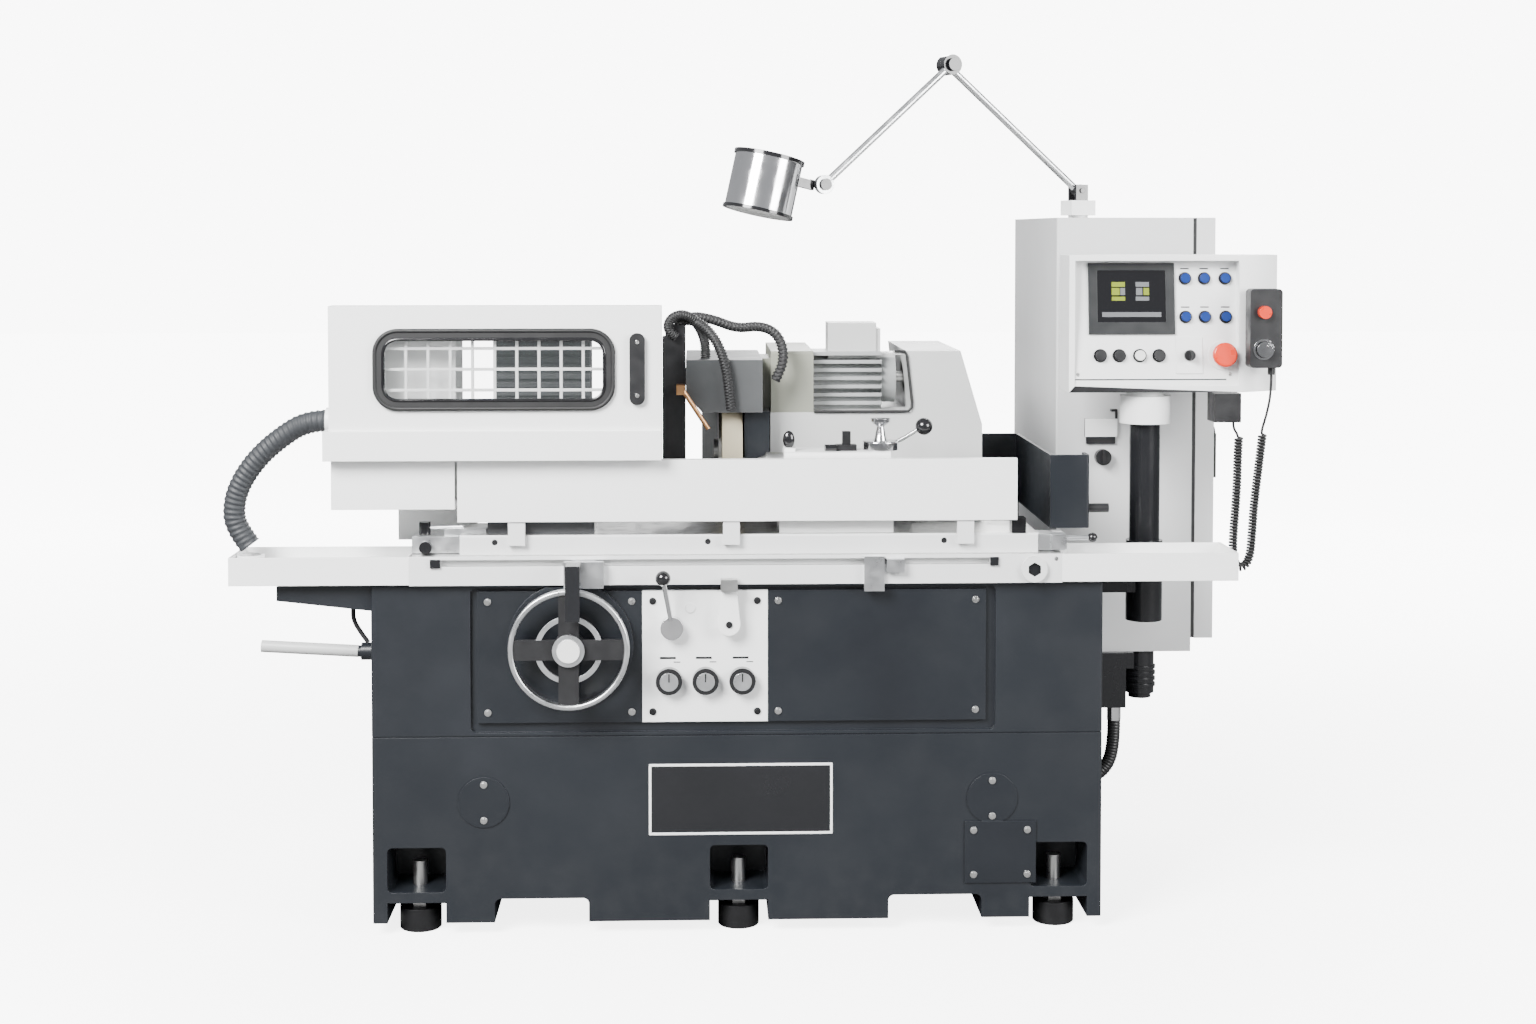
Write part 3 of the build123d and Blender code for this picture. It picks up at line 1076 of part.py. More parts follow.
def pendant():
    """Hand pendant on the panel's wing, with a red stop knob and a cord gland below."""
    case = block(PENDANT_X, PENDANT_Y, PENDANT_Z)
    case = fillet(case.edges().filter_by(Axis.Y), 10)
    x = PENDANT_X[0] + 34
    case -= rod_y(x, PENDANT_DIAL_Z, BUTTON_STEM + FIT, (PENDANT_Y[0], PENDANT_Y[0] + 10))
    knob = rod_y(x, PENDANT_Z[1] - 58, 16, (PENDANT_Y[0] - 16, PENDANT_Y[0]))
    ring = (rod_y(x, PENDANT_DIAL_Z, 26, (PENDANT_Y[0] - 2, PENDANT_Y[0]))
            - rod_y(x, PENDANT_DIAL_Z, 21, (PENDANT_Y[0] - 2, PENDANT_Y[0])))
    gland = rod_z(PENDANT_X[0] + 60, 210, 9, (PENDANT_Z[0] - 18, PENDANT_Z[0]))
    return group(case, knob, ring, gland)


def pendant_dial():
    """Pulse dial of the pendant."""
    x, face = PENDANT_X[0] + 34, PENDANT_Y[0]
    dial = (rod_y(x, PENDANT_DIAL_Z, 19, (face - 12, face - 1))
            + rod_y(x, PENDANT_DIAL_Z, BUTTON_STEM, (face - 1, face + 9)))
    return dial + rod_y(x + 10, PENDANT_DIAL_Z + 8, 4, (face - 20, face - 12))


def cord_routes():
    """Hand-placed route of the pendant's cord: plain, curly, plain."""
    x, low = PENDANT_X[0], PANEL_BOTTOM
    down = [(x + 60, 210, PENDANT_Z[0] - 18), (x + 60, 210, low + 2), (x + 51, 215, low - 52),
            (x + 41, 217, low - 104)]
    curl = [down[-1], (x + 35, 218, low - 160), (x + 28, 219, low - 222), (x + 21, 220, low - 290),
            (x + 17, 220, low - 360), (x + 13, 220, low - 412), (x - 1, 220, low - 438),
            (x - 20, 220, low - 438), (x - 31, 220, low - 411), (x - 30, 220, low - 356),
            (x - 25, 220, low - 290), (x - 21, 221, low - 222), (x - 20, 222, low - 160),
            (x - 17, 224, low - 112)]
    up = [curl[-1], (x - 24, 227, low - 100), (x - 30, 229, low - 88), (x - 30, 229, SOCKET_Z[0])]
    return down, curl, up


def coil_cord():
    """The pendant's cord as plain tubes and, where it is curly, one tube of the coil's outer size."""
    down, curl, up = cord_routes()
    return group(bent_tube(down, 3.25, "cord down"), bent_tube(curl, COIL_RADIUS, "cord curly"),
                 bent_tube(up, 3.25, "cord up"))


def push_button(x):
    """Round push button with its stem through the fascia."""
    return (stub(x, BUTTON_Z, BUTTON_RADIUS - 1 - FIT, PRESS + 0.5, 12)
            + stub(x, BUTTON_Z, BUTTON_STEM, -PANEL_SHEET - 4, PRESS + 0.5))


def emergency_stop():
    """Mushroom head of the emergency stop."""
    head = stub(STOP_X, BUTTON_Z, STOP_RADIUS, 16, 34)
    head = fillet(head.edges().filter_by(GeomType.CIRCLE), 6)
    return (head + stub(STOP_X, BUTTON_Z, 12, 8, 16)
            + stub(STOP_X, BUTTON_Z, BUTTON_STEM, -PANEL_SHEET - 6, 8))


def key_switch():
    """Selector barrel with its key."""
    barrel = stub(KEY_X, BUTTON_Z, 14, 2.5, 12) + stub(KEY_X, BUTTON_Z, BUTTON_STEM, -PANEL_SHEET - 4, 2.5)
    return barrel + tile(KEY_X, BUTTON_Z, 3, 22, 12, 34)


# ---- lamp -------------------------------------------------------------------------------------------

def in_lamp_plane(shape):
    """Turns a piece drawn along X into the lamp's arm plane and stands it on the cabinet."""
    return Pos(LAMP_X, LAMP_Y, LAMP_PIVOT_Z) * Rot(0, 0, LAMP_TURN) * shape


def lamp_base():
    """Turning base block with a fork for the lower arm."""
    drop = CABINET_Z[1] - LAMP_PIVOT_Z
    foot = block((-36, 36), (-30, 30), (drop + 6, drop + 46)) + rod_z(0, 0, 26, (drop + GAP, drop + 6))
    fork = (block((-18, 18), (-LAMP_FORK - 8, -LAMP_FORK), (drop + 46, 16))
            + block((-18, 18), (LAMP_FORK, LAMP_FORK + 8), (drop + 46, 16)))
    base = foot + fork
    pin = rod_y(0, 0, 7, (-LAMP_FORK - 12, LAMP_FORK + 12))
    return in_lamp_plane(base + pin)


def link(start, end, lean):
    """A lamp arm between two joints, its eye at the start in the middle and its end offset."""
    ends = (Vector(start[0], 0, start[1]), Vector(end[0], 0, end[1]))
    way = (ends[1] - ends[0]).normalized()
    a, b = ends[0] + way * 10, ends[1] - way * 12
    return bar((a.X, lean, a.Z), (b.X, lean, b.Z), ARM_RADIUS)


def lamp_lower_arm():
    """Lower arm from the base fork to the elbow ball."""
    eye = (rod_y(0, 0, 17, (-LAMP_FORK + GAP, LAMP_FORK - GAP))
           - rod_y(0, 0, 7 + FIT, (-LAMP_FORK, LAMP_FORK)))
    arm = link((0, 0), ELBOW, 4) - rod_y(0, 0, 7 + FIT, (-LAMP_FORK, LAMP_FORK))
    boss = rod_y(*ELBOW, 26, (-6, 16)) + rod_y(*ELBOW, 8, (-36, -6)) + rod_y(*ELBOW, 17, (-42, -36))
    return in_lamp_plane(eye + arm + boss)


def lamp_upper_arm():
    """Upper arm from the elbow to the head joint."""
    eye = rod_y(*ELBOW, 26, (-30, -6 - GAP)) - rod_y(*ELBOW, 8 + FIT, (-30, -6))
    arm = link(ELBOW, WRIST, -18) - rod_y(*ELBOW, 8 + FIT, (-30, -6))
    ring = rod_y(*WRIST, 24, (-27, -9)) - rod_y(*WRIST, 9 + FIT, (-27, -9))
    return in_lamp_plane(eye + arm - rod_y(*WRIST, 9 + FIT, (-27, -9)) + ring)


def lamp_head():
    """Open-bottomed lamp can with its bracket, rims, lens and top knob."""
    wall = Cylinder(HEAD_RADIUS, 145) - Pos(0, 0, -4) * Cylinder(HEAD_RADIUS - 3, 145)
    wall += Pos(0, 0, 71) * (Cylinder(HEAD_RADIUS + 4, 10) - Cylinder(HEAD_RADIUS - 1, 10))
    wall += Pos(0, 0, -69) * (Cylinder(HEAD_RADIUS + 4, 8) - Cylinder(HEAD_RADIUS - 1, 8))
    lens = Pos(0, 0, -62) * Cylinder(HEAD_RADIUS - 3, 4)
    knob = Pos(6, 0, 78) * Cylinder(11, 10)
    arm = block((HEAD_RADIUS - 2, HEAD_RADIUS + 48), (-5, 12), (18, 42))
    head = wall + knob + arm
    hung = Pos(WRIST[0] - 158, 0, WRIST[1] - 2) * Rot(0, HEAD_TILT, 0)
    pin = rod_y(*WRIST, 9, (-30, -2)) + rod_y(*WRIST, 16, (-8, 12)) + rod_y(*WRIST, 15, (-34, -28))
    tongue = bar((WRIST[0] - 30, 3, WRIST[1] + 6), (WRIST[0], 3, WRIST[1]), 8)
    return in_lamp_plane(group(hung * head + tongue + pin, hung * lens))


# ---- everything -------------------------------------------------------------------------------------

nodes = {
    "bed_casting": bed_casting(),
    "levelling_feet": levelling_feet(),
    "bed_covers": bed_covers(),
    "control_plate": control_plate(),
    "cover_screws": cover_screws(),
    "drain_pipe": drain_pipe(),
    "splash_guard": splash_guard(),
    "cabinet_body": cabinet_body(),
    "panel_post": panel_post(),
    "hydraulic_unit": hydraulic_unit(),
    "hydraulic_hose": hydraulic_hose(),
    "cabinet_door": cabinet_door(),
    "door_latch": door_latch(),
    "main_switch": main_switch(),
    "lower_table": lower_table(),
    "end_trays": end_trays(),
    "trip_dogs": trip_dogs(),
    "swivel_table": swivel_table(),
    "front_guard": front_guard(),
    "table_clamps": table_clamps(),
    "left_shroud": left_shroud(),
    "conduit": conduit(),
    "workhead_body": workhead_body(),
    "work_spindle": work_spindle(),
    "tailstock_body": tailstock_body(),
    "tailstock_quill": tailstock_quill(),
    "tailstock_lever": tailstock_lever(),
    "tailstock_clamp": tailstock_clamp(),
    "sliding_door": sliding_door(),
    "door_window": door_window(),
    "wheelhead_slide": wheelhead_slide(),
    "wheelhead_housing": wheelhead_housing(),
    "wheelhead_cover": wheelhead_cover(),
    "wheel_guard": wheel_guard(),
    "drive_motor": drive_motor(),
    "motor_pulley": motor_pulley(),
    "drive_belt": drive_belt(),
    "wheel_spindle": wheel_spindle(),
    "grinding_wheel": grinding_wheel(),
    "coolant_hoses": coolant_hoses(),
    "handwheel": handwheel(),
    "table_lever": table_lever(),
    "reversing_lever": reversing_lever(),
    "panel_box": panel_box(),
    "pendant": pendant(),
    "pendant_dial": pendant_dial(),
    "coil_cord": coil_cord(),
    "emergency_stop": emergency_stop(),
    "key_switch": key_switch(),
    "lamp_base": lamp_base(),
    "lamp_lower_arm": lamp_lower_arm(),
    "lamp_upper_arm": lamp_upper_arm(),
    "lamp_head": lamp_head(),
}
for number, place in enumerate(KNOB_X, 1):
    nodes[f"speed_knob_{number}"] = speed_knob(place)
for number, place in enumerate(BUTTON_X, 1):
    nodes[f"push_button_{number}"] = push_button(place)

# the origin goes to the floor under the middle of everything but the cord
kept = [solid for name, node in nodes.items() if name != "coil_cord" for solid in node.solids()]
whole = Compound(kept).bounding_box()
ORIGIN = ((whole.min.X + whole.max.X) / 2, (whole.min.Y + whole.max.Y) / 2, whole.min.Z)
print("bed origin is at", [round(-value, 3) for value in ORIGIN], "size", whole.size)

os.makedirs("parts", exist_ok=True)
for name, node in nodes.items():
    moved = Compound([Pos(*[-value for value in ORIGIN]) * s for s in node.solids()])
    export_step(moved, f"parts/{name}.step")
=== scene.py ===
# %% [markdown]
# # A cylindrical grinding machine
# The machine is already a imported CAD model: every casting, cover and lever sits in the right place and
# moves on its own joint. This notebook dresses it. We load that model as a fixed frame and never move it.
# Each finish is built from nodes, and the pieces that CAD can only hint at, such as cords, hoses, seals and
# screws, are modelled again as what they really are.

# %% Load the frame
import json
from math import cos, hypot, pi, radians, sin

import bmesh
import bpy
from mathutils import Matrix, Vector


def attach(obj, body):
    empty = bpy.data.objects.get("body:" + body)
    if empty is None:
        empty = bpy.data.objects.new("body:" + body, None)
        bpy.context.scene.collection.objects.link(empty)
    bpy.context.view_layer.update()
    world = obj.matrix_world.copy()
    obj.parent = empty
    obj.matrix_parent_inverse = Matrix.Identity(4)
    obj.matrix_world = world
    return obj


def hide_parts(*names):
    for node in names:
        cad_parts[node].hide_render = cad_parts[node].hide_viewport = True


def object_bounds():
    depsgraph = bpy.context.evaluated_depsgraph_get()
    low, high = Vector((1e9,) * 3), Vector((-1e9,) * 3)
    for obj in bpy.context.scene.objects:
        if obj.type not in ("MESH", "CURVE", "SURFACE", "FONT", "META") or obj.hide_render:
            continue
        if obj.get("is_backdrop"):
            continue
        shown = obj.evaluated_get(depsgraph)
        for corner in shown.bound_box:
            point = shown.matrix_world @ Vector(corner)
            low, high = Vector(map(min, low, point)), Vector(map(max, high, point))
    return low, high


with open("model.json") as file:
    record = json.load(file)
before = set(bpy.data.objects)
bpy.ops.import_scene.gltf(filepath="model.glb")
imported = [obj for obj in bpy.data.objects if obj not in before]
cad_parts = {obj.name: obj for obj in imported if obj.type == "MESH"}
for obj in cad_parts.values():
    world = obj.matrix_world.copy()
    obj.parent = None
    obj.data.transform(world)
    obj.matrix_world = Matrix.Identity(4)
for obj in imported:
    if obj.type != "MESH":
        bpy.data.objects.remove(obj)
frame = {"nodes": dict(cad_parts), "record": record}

cad_box = [list(corner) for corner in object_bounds()]

# %% [markdown]
# ## Where things are
# The designers measured from the bed: x from its middle, y back from its front face, z up from the floor,
# in millimetres. The frame's own zero is under the middle of the whole machine. One small function turns
# the first into the second, so that sizes read as they would on a drawing.

# %% Bed millimetres to frame metres
BED_ORIGIN = Vector((-0.069106, -0.6015, 0))


def at(x, y, z):
    """A point given in bed millimetres, as a point in the frame."""
    return BED_ORIGIN + Vector((x, y, z)) / 1000


print("bed front middle is at", tuple(round(v, 3) for v in at(0, 0, 0)))

# %% [markdown]
# ## The camera
# The machine is seen nearly squarely from the front, at about an operator's eye height, from five metres
# away. A level camera would leave the machine low in the view. So it tilts down a little and lets the lens
# shift do the rest, which keeps the uprights almost parallel.

# %% Camera
EYE = (-98, -5000, 1682)
TILT_DOWN = 2.2
YAW = -1.92

camera = bpy.data.objects.new("camera", bpy.data.cameras.new("camera"))
bpy.context.scene.collection.objects.link(camera)
camera.data.lens = 49.3
camera.data.sensor_width = 36
camera.data.shift_y = -0.129
camera.location = at(*EYE)
camera.rotation_euler = (radians(90 - TILT_DOWN), 0, radians(YAW))
camera.data.clip_end = 60
bpy.context.scene.camera = camera
print("camera at", tuple(round(v, 2) for v in camera.location))

# %% [markdown]
# ## Shader maths in plain Python
# A node tree is only arithmetic drawn as boxes. `Value` wraps a socket so that `mask * 0.5` or `one + two`
# adds the Math node for us. `Finish` holds one Principled shader. Its `node` method makes any other node:
# settings first, then the values or links of its sockets.

# %% Value and Finish
class Value:
    """A shader socket that can be added and multiplied."""

    def __init__(self, finish, socket):
        self.finish = finish
        self.socket = socket

    def math(self, operation, other):
        return self.finish.node("ShaderNodeMath", {"operation": operation}, {0: self, 1: other})

    def __add__(self, other):
        return self.math("ADD", other)

    def __mul__(self, other):
        return self.math("MULTIPLY", other)


class Finish:
    """A material with one Principled shader."""

    def __init__(self, name, colour, roughness, metallic=0.0, **sockets):
        self.material = bpy.data.materials.new(name)
        self.material.use_nodes = True
        self.tree = self.material.node_tree
        self.shader = self.tree.nodes["Principled BSDF"]
        self.put("Base Color", colour)
        self.put("Roughness", roughness)
        self.put("Metallic", metallic)
        for label, value in sockets.items():
            self.put(label.replace("_", " ").title().replace("Ior", "IOR"), value)

    def fill(self, socket, value):
        """Links a Value to a socket, or sets the socket's own value."""
        if isinstance(value, Value):
            self.tree.links.new(value.socket, socket)
        elif isinstance(value, tuple) and socket.type == "RGBA" and len(value) == 3:
            socket.default_value = (*value, 1)
        else:
            socket.default_value = value

    def put(self, label, value):
        """Fills a socket of the shader itself."""
        self.fill(self.shader.inputs[label], value)

    def node(self, kind, settings=None, sockets=None, out=0):
        made = self.tree.nodes.new(kind)
        for label, value in (settings or {}).items():
            setattr(made, label, value)
        for label, value in (sockets or {}).items():
            self.fill(made.inputs[label], value)
        return Value(self, made.outputs[out])

    def place(self):
        """The place on the surface, in frame metres at rest."""
        return self.node("ShaderNodeTexCoord", out="Object")

    def height(self):
        """Height over the floor at rest."""
        return self.node("ShaderNodeSeparateXYZ", sockets={0: self.place()}, out=2)

    def noise(self, scale, detail=3.0, stretch=(1, 1, 1)):
        """Noise of so many grains per metre, from 0 to 1."""
        mapped = self.node("ShaderNodeVectorMath", {"operation": "MULTIPLY"}, {0: self.place(), 1: stretch})
        return self.node("ShaderNodeTexNoise", {}, {"Vector": mapped, "Scale": scale, "Detail": detail})

    def ramp(self, value, low, high, start=0.0, end=1.0):
        """Maps low..high of a value to start..end, smoothly and clamped."""
        return self.node("ShaderNodeMapRange", {"interpolation_type": "SMOOTHSTEP"},
                         {"Value": value, "From Min": low, "From Max": high, "To Min": start, "To Max": end})

    def mix(self, factor, one, two):
        """Blends two colours. Sockets 6 and 7 and output 2 are the colour ones of a Mix node."""
        return self.node("ShaderNodeMix", {"data_type": "RGBA"}, {0: factor, 6: one, 7: two}, out=2)

    def relief(self, height, depth, edge=0.0015):
        """Bump of that depth in metres over softly rounded edges."""
        rounded = self.node("ShaderNodeBevel", {"samples": 4}, {"Radius": edge})
        normal = self.node("ShaderNodeBump", {}, {"Height": height, "Distance": depth, "Normal": rounded})
        self.put("Normal", normal)

    def edges(self, width=0.003):
        """1 on sharp edges and 0 on flats."""
        rounded = self.node("ShaderNodeBevel", {"samples": 4}, {"Radius": width})
        flat = self.node("ShaderNodeNewGeometry", out="Normal")
        facing = self.node("ShaderNodeVectorMath", {"operation": "DOT_PRODUCT"}, {0: rounded, 1: flat},
                           out="Value")
        return self.ramp(facing, 0.99, 0.8)


print("shader maths ready")

# %% [markdown]
# ## The studio
# The machine stands on a white floor before a white backdrop. If the backdrop lit the machine from all
# sides, the dark castings would only mirror it and look grey. So the world is white where the camera sees
# it and dim for everything else, the floor is made the same way, and three large lights do the work. A key
# stands high at the left front, a weaker fill at the right and a third light at the back. Large lights give
# the soft highlights that painted castings show.

# %% Floor, world and lights
FLOOR_HALF = 30
STUDIO_GLOW = 9.0
FADE_NEAR, FADE_FAR = 1.5, 7.0

floor_coat = Finish("studio_floor", (0.9, 0.9, 0.9), 0.8, emission_strength=STUDIO_GLOW)
floor_seen = floor_coat.node("ShaderNodeLightPath", out="Is Camera Ray")
floor_reach = floor_coat.node("ShaderNodeVectorMath", {"operation": "LENGTH"}, {0: floor_coat.place()},
                              out="Value")
fade_range = {"Value": floor_reach, "From Min": FADE_NEAR, "From Max": FADE_FAR, "To Min": 0.5}
floor_fade = floor_coat.node("ShaderNodeMapRange", {}, fade_range)
floor_coat.put("Base Color", floor_coat.mix(floor_seen, (0.16, 0.16, 0.16), (0.9, 0.9, 0.9)))
# Painted light: the floor glows for the camera though it is no lamp, and the glow drops to half within
# FADE_NEAR of the middle, a painted shade round the machine.
floor_coat.put("Emission Color", floor_fade * floor_seen)

floor_mesh = bpy.data.meshes.new("floor")
floor_corners = [(x * FLOOR_HALF, y * FLOOR_HALF, 0) for x, y in ((-1, -1), (1, -1), (1, 1), (-1, 1))]
floor_mesh.from_pydata(floor_corners, [], [(0, 1, 2, 3)])
floor_mesh.materials.append(floor_coat.material)
floor = bpy.data.objects.new("floor", floor_mesh)
bpy.context.scene.collection.objects.link(floor)
floor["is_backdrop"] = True

world = bpy.data.worlds.new("studio")
bpy.context.scene.world = world
world.use_nodes = True
backdrop = world.node_tree.nodes["Background"]
seen = world.node_tree.nodes.new("ShaderNodeLightPath")
choice = world.node_tree.nodes.new("ShaderNodeMix")
choice.data_type = "RGBA"
choice.inputs[6].default_value = (0.055, 0.056, 0.058, 1)
choice.inputs[7].default_value = (1, 1, 1, 1)
world.node_tree.links.new(seen.outputs["Is Camera Ray"], choice.inputs[0])
world.node_tree.links.new(choice.outputs[2], backdrop.inputs["Color"])
backdrop.inputs["Strength"].default_value = STUDIO_GLOW


def soft_light(name, place, target, size, power):
    """A square area light that faces the target."""
    light = bpy.data.objects.new(name, bpy.data.lights.new(name, "AREA"))
    bpy.context.scene.collection.objects.link(light)
    light.data.size = size
    light.data.energy = power
    light.location = place
    light.rotation_euler = (Vector(target) - light.location).to_track_quat("-Z", "Y").to_euler()


soft_light("key", (-3.2, -4.6, 4.6), (0, 0, 0.9), 3.0, 1500)
soft_light("fill", (4.2, -3.8, 2.6), (0, 0, 1.0), 2.6, 420)
soft_light("rear", (1.5, 5.0, 4.2), (0, 0, 1.0), 3.0, 600)
print("three lights")

# %% [markdown]
# ## Painted finishes
# Machine paint is sprayed over filler, so it's never a perfect mirror: there's a fine orange peel of a few
# millimetres, and its gloss varies a little from hand to hand. A noise in the bump gives the first and a
# larger noise in the roughness gives the second. Edges catch the light because they're rounded, which the
# Bevel node supplies, and the coat's colour is also made a shade lighter there as a painted highlight.

# %% Paint
def paint(name, colour, lighter, roughness, peel=0.00006, edge=0.0018, dust=0.0):
    """Sprayed enamel. lighter is the colour of the mottling and of the painted edge highlight, dust the share
    of pale dust low on the machine.
    """
    coat = Finish(name, colour, roughness, coat_weight=0.15, coat_roughness=0.2, specular_ior_level=0.4)
    cloud = coat.noise(3.0, 4.0)
    body = coat.mix(coat.ramp(cloud, 0.3, 0.7, 0.0, 0.14), colour, lighter)
    # Painted highlight: the colour is lightened on the edges, where they would catch the light.
    body = coat.mix(coat.edges() * 0.5, body, lighter)
    if dust:
        low = coat.ramp(coat.height(), 0.35, 0.02) * coat.ramp(coat.noise(22.0, 6.0), 0.35, 0.75)
        body = coat.mix(low * dust, body, (0.2, 0.2, 0.2))
    coat.put("Base Color", body)
    coat.put("Roughness", coat.ramp(coat.noise(9.0, 5.0), 0.25, 0.75, roughness - 0.06, roughness + 0.07))
    coat.relief(coat.noise(420.0, 2.0), peel, edge)
    return coat.material


BED_PAINT = paint("bed_paint", (0.008, 0.0098, 0.013), (0.02, 0.024, 0.03), 0.42, dust=0.02)
COVER_PAINT = paint("cover_paint", (0.0072, 0.0088, 0.0118), (0.021, 0.025, 0.031), 0.38)
WHITE_PAINT = paint("white_paint", (0.83, 0.835, 0.83), (0.88, 0.88, 0.875), 0.36, edge=0.0025)
TABLE_PAINT = paint("table_paint", (0.66, 0.665, 0.665), (0.78, 0.78, 0.78), 0.38)
# The cabinet's own whitish grey, painted a little darker to stand for the shade on its front.
CABINET_PAINT_WITH_PAINTED_SHADE = paint("cabinet_paint_darkened_for_shade", (0.6, 0.605, 0.605), (0.72, 0.72, 0.72), 0.4, edge=0.0025)
# The cover's own pale grey, painted darker to stand for the shade it lies in.
COVER_GREY_WITH_PAINTED_SHADE = paint("pale_cover_paint_darkened_for_shade", (0.46, 0.465, 0.46), (0.62, 0.62, 0.61), 0.4, edge=0.003)
HOOD_GREY = paint("hood_paint", (0.045, 0.048, 0.05), (0.24, 0.24, 0.24), 0.4)
BLACK_PAINT = paint("black_gloss_paint", (0.008, 0.0085, 0.01), (0.03, 0.03, 0.032), 0.22)
MOTOR_PAINT = paint("motor_paint", (0.3, 0.31, 0.31), (0.46, 0.46, 0.46), 0.42)
print("nine paints")

# %% [markdown]
# ## Bare metals
# Ground steel shows fine parallel scratches, turned parts show rings and castings of aluminium are satin.
# A noise stretched some fifty times along one axis draws the scratches. It drives both roughness and a very
# shallow bump.

# %% Metals
def metal(name, colour, roughness, grain=(1, 1, 1), scale=900.0, depth=0.00003, smudge=0.08, edge=0.001):
    """Bare metal with fine lines along the axis whose grain is smallest."""
    bare = Finish(name, colour, roughness, 1.0)
    lines = bare.noise(scale, 2.0, grain)
    smudges = bare.noise(28.0, 5.0)
    bare.put("Roughness", bare.ramp(smudges, 0.3, 0.7, roughness - smudge, roughness + smudge) + lines * 0.08)
    darker = tuple(c * 0.72 for c in colour)
    bare.put("Base Color", bare.mix(bare.ramp(smudges, 0.35, 0.75, 0.0, 0.3), colour, darker))
    bare.relief(lines, depth, edge)
    return bare.material


GROUND_STEEL = metal("ground_steel", (0.56, 0.56, 0.55), 0.32, (0.02, 1, 1))
TURNED_STEEL = metal("turned_steel", (0.6, 0.6, 0.59), 0.28, (1, 0.02, 0.02))
CHROME = metal("chrome", (0.75, 0.75, 0.76), 0.1, depth=0.000004, smudge=0.04)
ALUMINIUM = metal("aluminium", (0.7, 0.71, 0.72), 0.3, (0.03, 1, 1))
BLACK_STEEL = metal("blackened_steel", (0.045, 0.045, 0.047), 0.42)
print("five metals")

# %% [markdown]
# ## Plastics, rubber and the wheel
# Moulded plastic has a faint sparkle texture, rubber is duller and slightly uneven, and a grinding wheel is
# made of grains, so it gets a coarse bump and speckled colour.

# %% Plastics and rubber
def plastic(name, colour, roughness, grain=700.0, depth=0.00004, speckle=0.15, **sockets):
    """Moulded plastic or rubber."""
    moulded = Finish(name, colour, roughness, **sockets)
    spots = moulded.noise(grain, 2.0)
    wear = moulded.noise(35.0, 4.0)
    lighter = tuple(min(1, c * 1.6 + 0.01) for c in colour)
    moulded.put("Base Color", moulded.mix(spots * speckle, colour, lighter))
    moulded.put("Roughness", moulded.ramp(wear, 0.3, 0.7, roughness - 0.07, roughness + 0.07))
    moulded.relief(spots, depth, 0.0012)
    return moulded.material


BLACK_PLASTIC = plastic("black_plastic", (0.011, 0.011, 0.012), 0.38)
BAKELITE = plastic("black_ball_plastic", (0.007, 0.007, 0.008), 0.14, depth=0.000005, coat_weight=0.4)
RUBBER = plastic("rubber", (0.009, 0.009, 0.0095), 0.55, 1200.0, 0.00006)
RED_PLASTIC = plastic("red_plastic", (0.6, 0.028, 0.003), 0.3, coat_weight=0.3)
WHITE_PLASTIC = plastic("white_plastic", (0.72, 0.72, 0.7), 0.3)
WHEEL_GRIT = plastic("wheel_grit", (0.36, 0.32, 0.23), 0.85, 1500.0, 0.0004, 0.9)
HOSE_RUBBER = plastic("hose_rubber", (0.012, 0.012, 0.013), 0.45, 300.0, 0.0002)
print("seven plastics and rubbers")

# %% [markdown]
# ## Dressing the CAD pieces
# Most CAD solids already have the right shape, so they stay and only get a finish. A list of finish and
# pieces keeps this readable.

# %% Finishes of the CAD pieces
def dress(material, *names):
    """Gives CAD pieces that finish."""
    for name in names:
        slots = frame["nodes"][name].data.materials
        slots.clear()
        slots.append(material)


dress(BED_PAINT, "bed_casting", "wheelhead_slide")
dress(COVER_PAINT, "bed_covers", "splash_guard", "hydraulic_unit")
dress(BLACK_STEEL, "levelling_feet")
dress(WHITE_PAINT, "control_plate", "front_guard", "left_shroud", "sliding_door", "end_trays", "panel_box",
      "tailstock_body")
dress(TABLE_PAINT, "lower_table", "swivel_table", "workhead_body")
dress(CABINET_PAINT_WITH_PAINTED_SHADE, "cabinet_body", "cabinet_door")
dress(COVER_GREY_WITH_PAINTED_SHADE, "wheelhead_cover", "drain_pipe")
dress(HOOD_GREY, "wheel_guard", "wheelhead_housing")
dress(MOTOR_PAINT, "drive_motor")
dress(BLACK_PAINT, "panel_post")
dress(GROUND_STEEL, "table_clamps", "trip_dogs", "work_spindle", "tailstock_quill", "wheel_spindle",
      "motor_pulley", "cover_screws")
dress(CHROME, "tailstock_clamp", "pendant_dial")
dress(ALUMINIUM, "handwheel", "lamp_lower_arm", "lamp_upper_arm", "lamp_head", "reversing_lever",
      "table_lever")
dress(BLACK_PLASTIC, "door_latch", "main_switch", "pendant", "speed_knob_1", "speed_knob_2", "speed_knob_3")
dress(BLACK_PLASTIC, "push_button_1", "push_button_2", "push_button_4", "key_switch")
dress(WHITE_PLASTIC, "push_button_3")
dress(RED_PLASTIC, "emergency_stop")
dress(RUBBER, "drive_belt", "conduit", "coolant_hoses", "hydraulic_hose", "door_window", "coil_cord")
dress(WHEEL_GRIT, "grinding_wheel")
print("every CAD piece has a finish")

# %% [markdown]
# ## Building pieces
# New pieces are meshes made in code. `piece` makes the object, its finish and its body in one go. Bent
# round things, such as hoses and cords, follow a smooth curve through a few control points.

# %% Piece makers
def piece(name, data, body, slot, material, *stands_for):
    """A visible piece that rides on a body and may stand for CAD nodes."""
    made = bpy.data.objects.new(name, data)
    bpy.context.scene.collection.objects.link(made)
    if not data.materials:
        data.materials.append(material)
    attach(made, body)
    if stands_for:
        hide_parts(*stands_for)
    return made


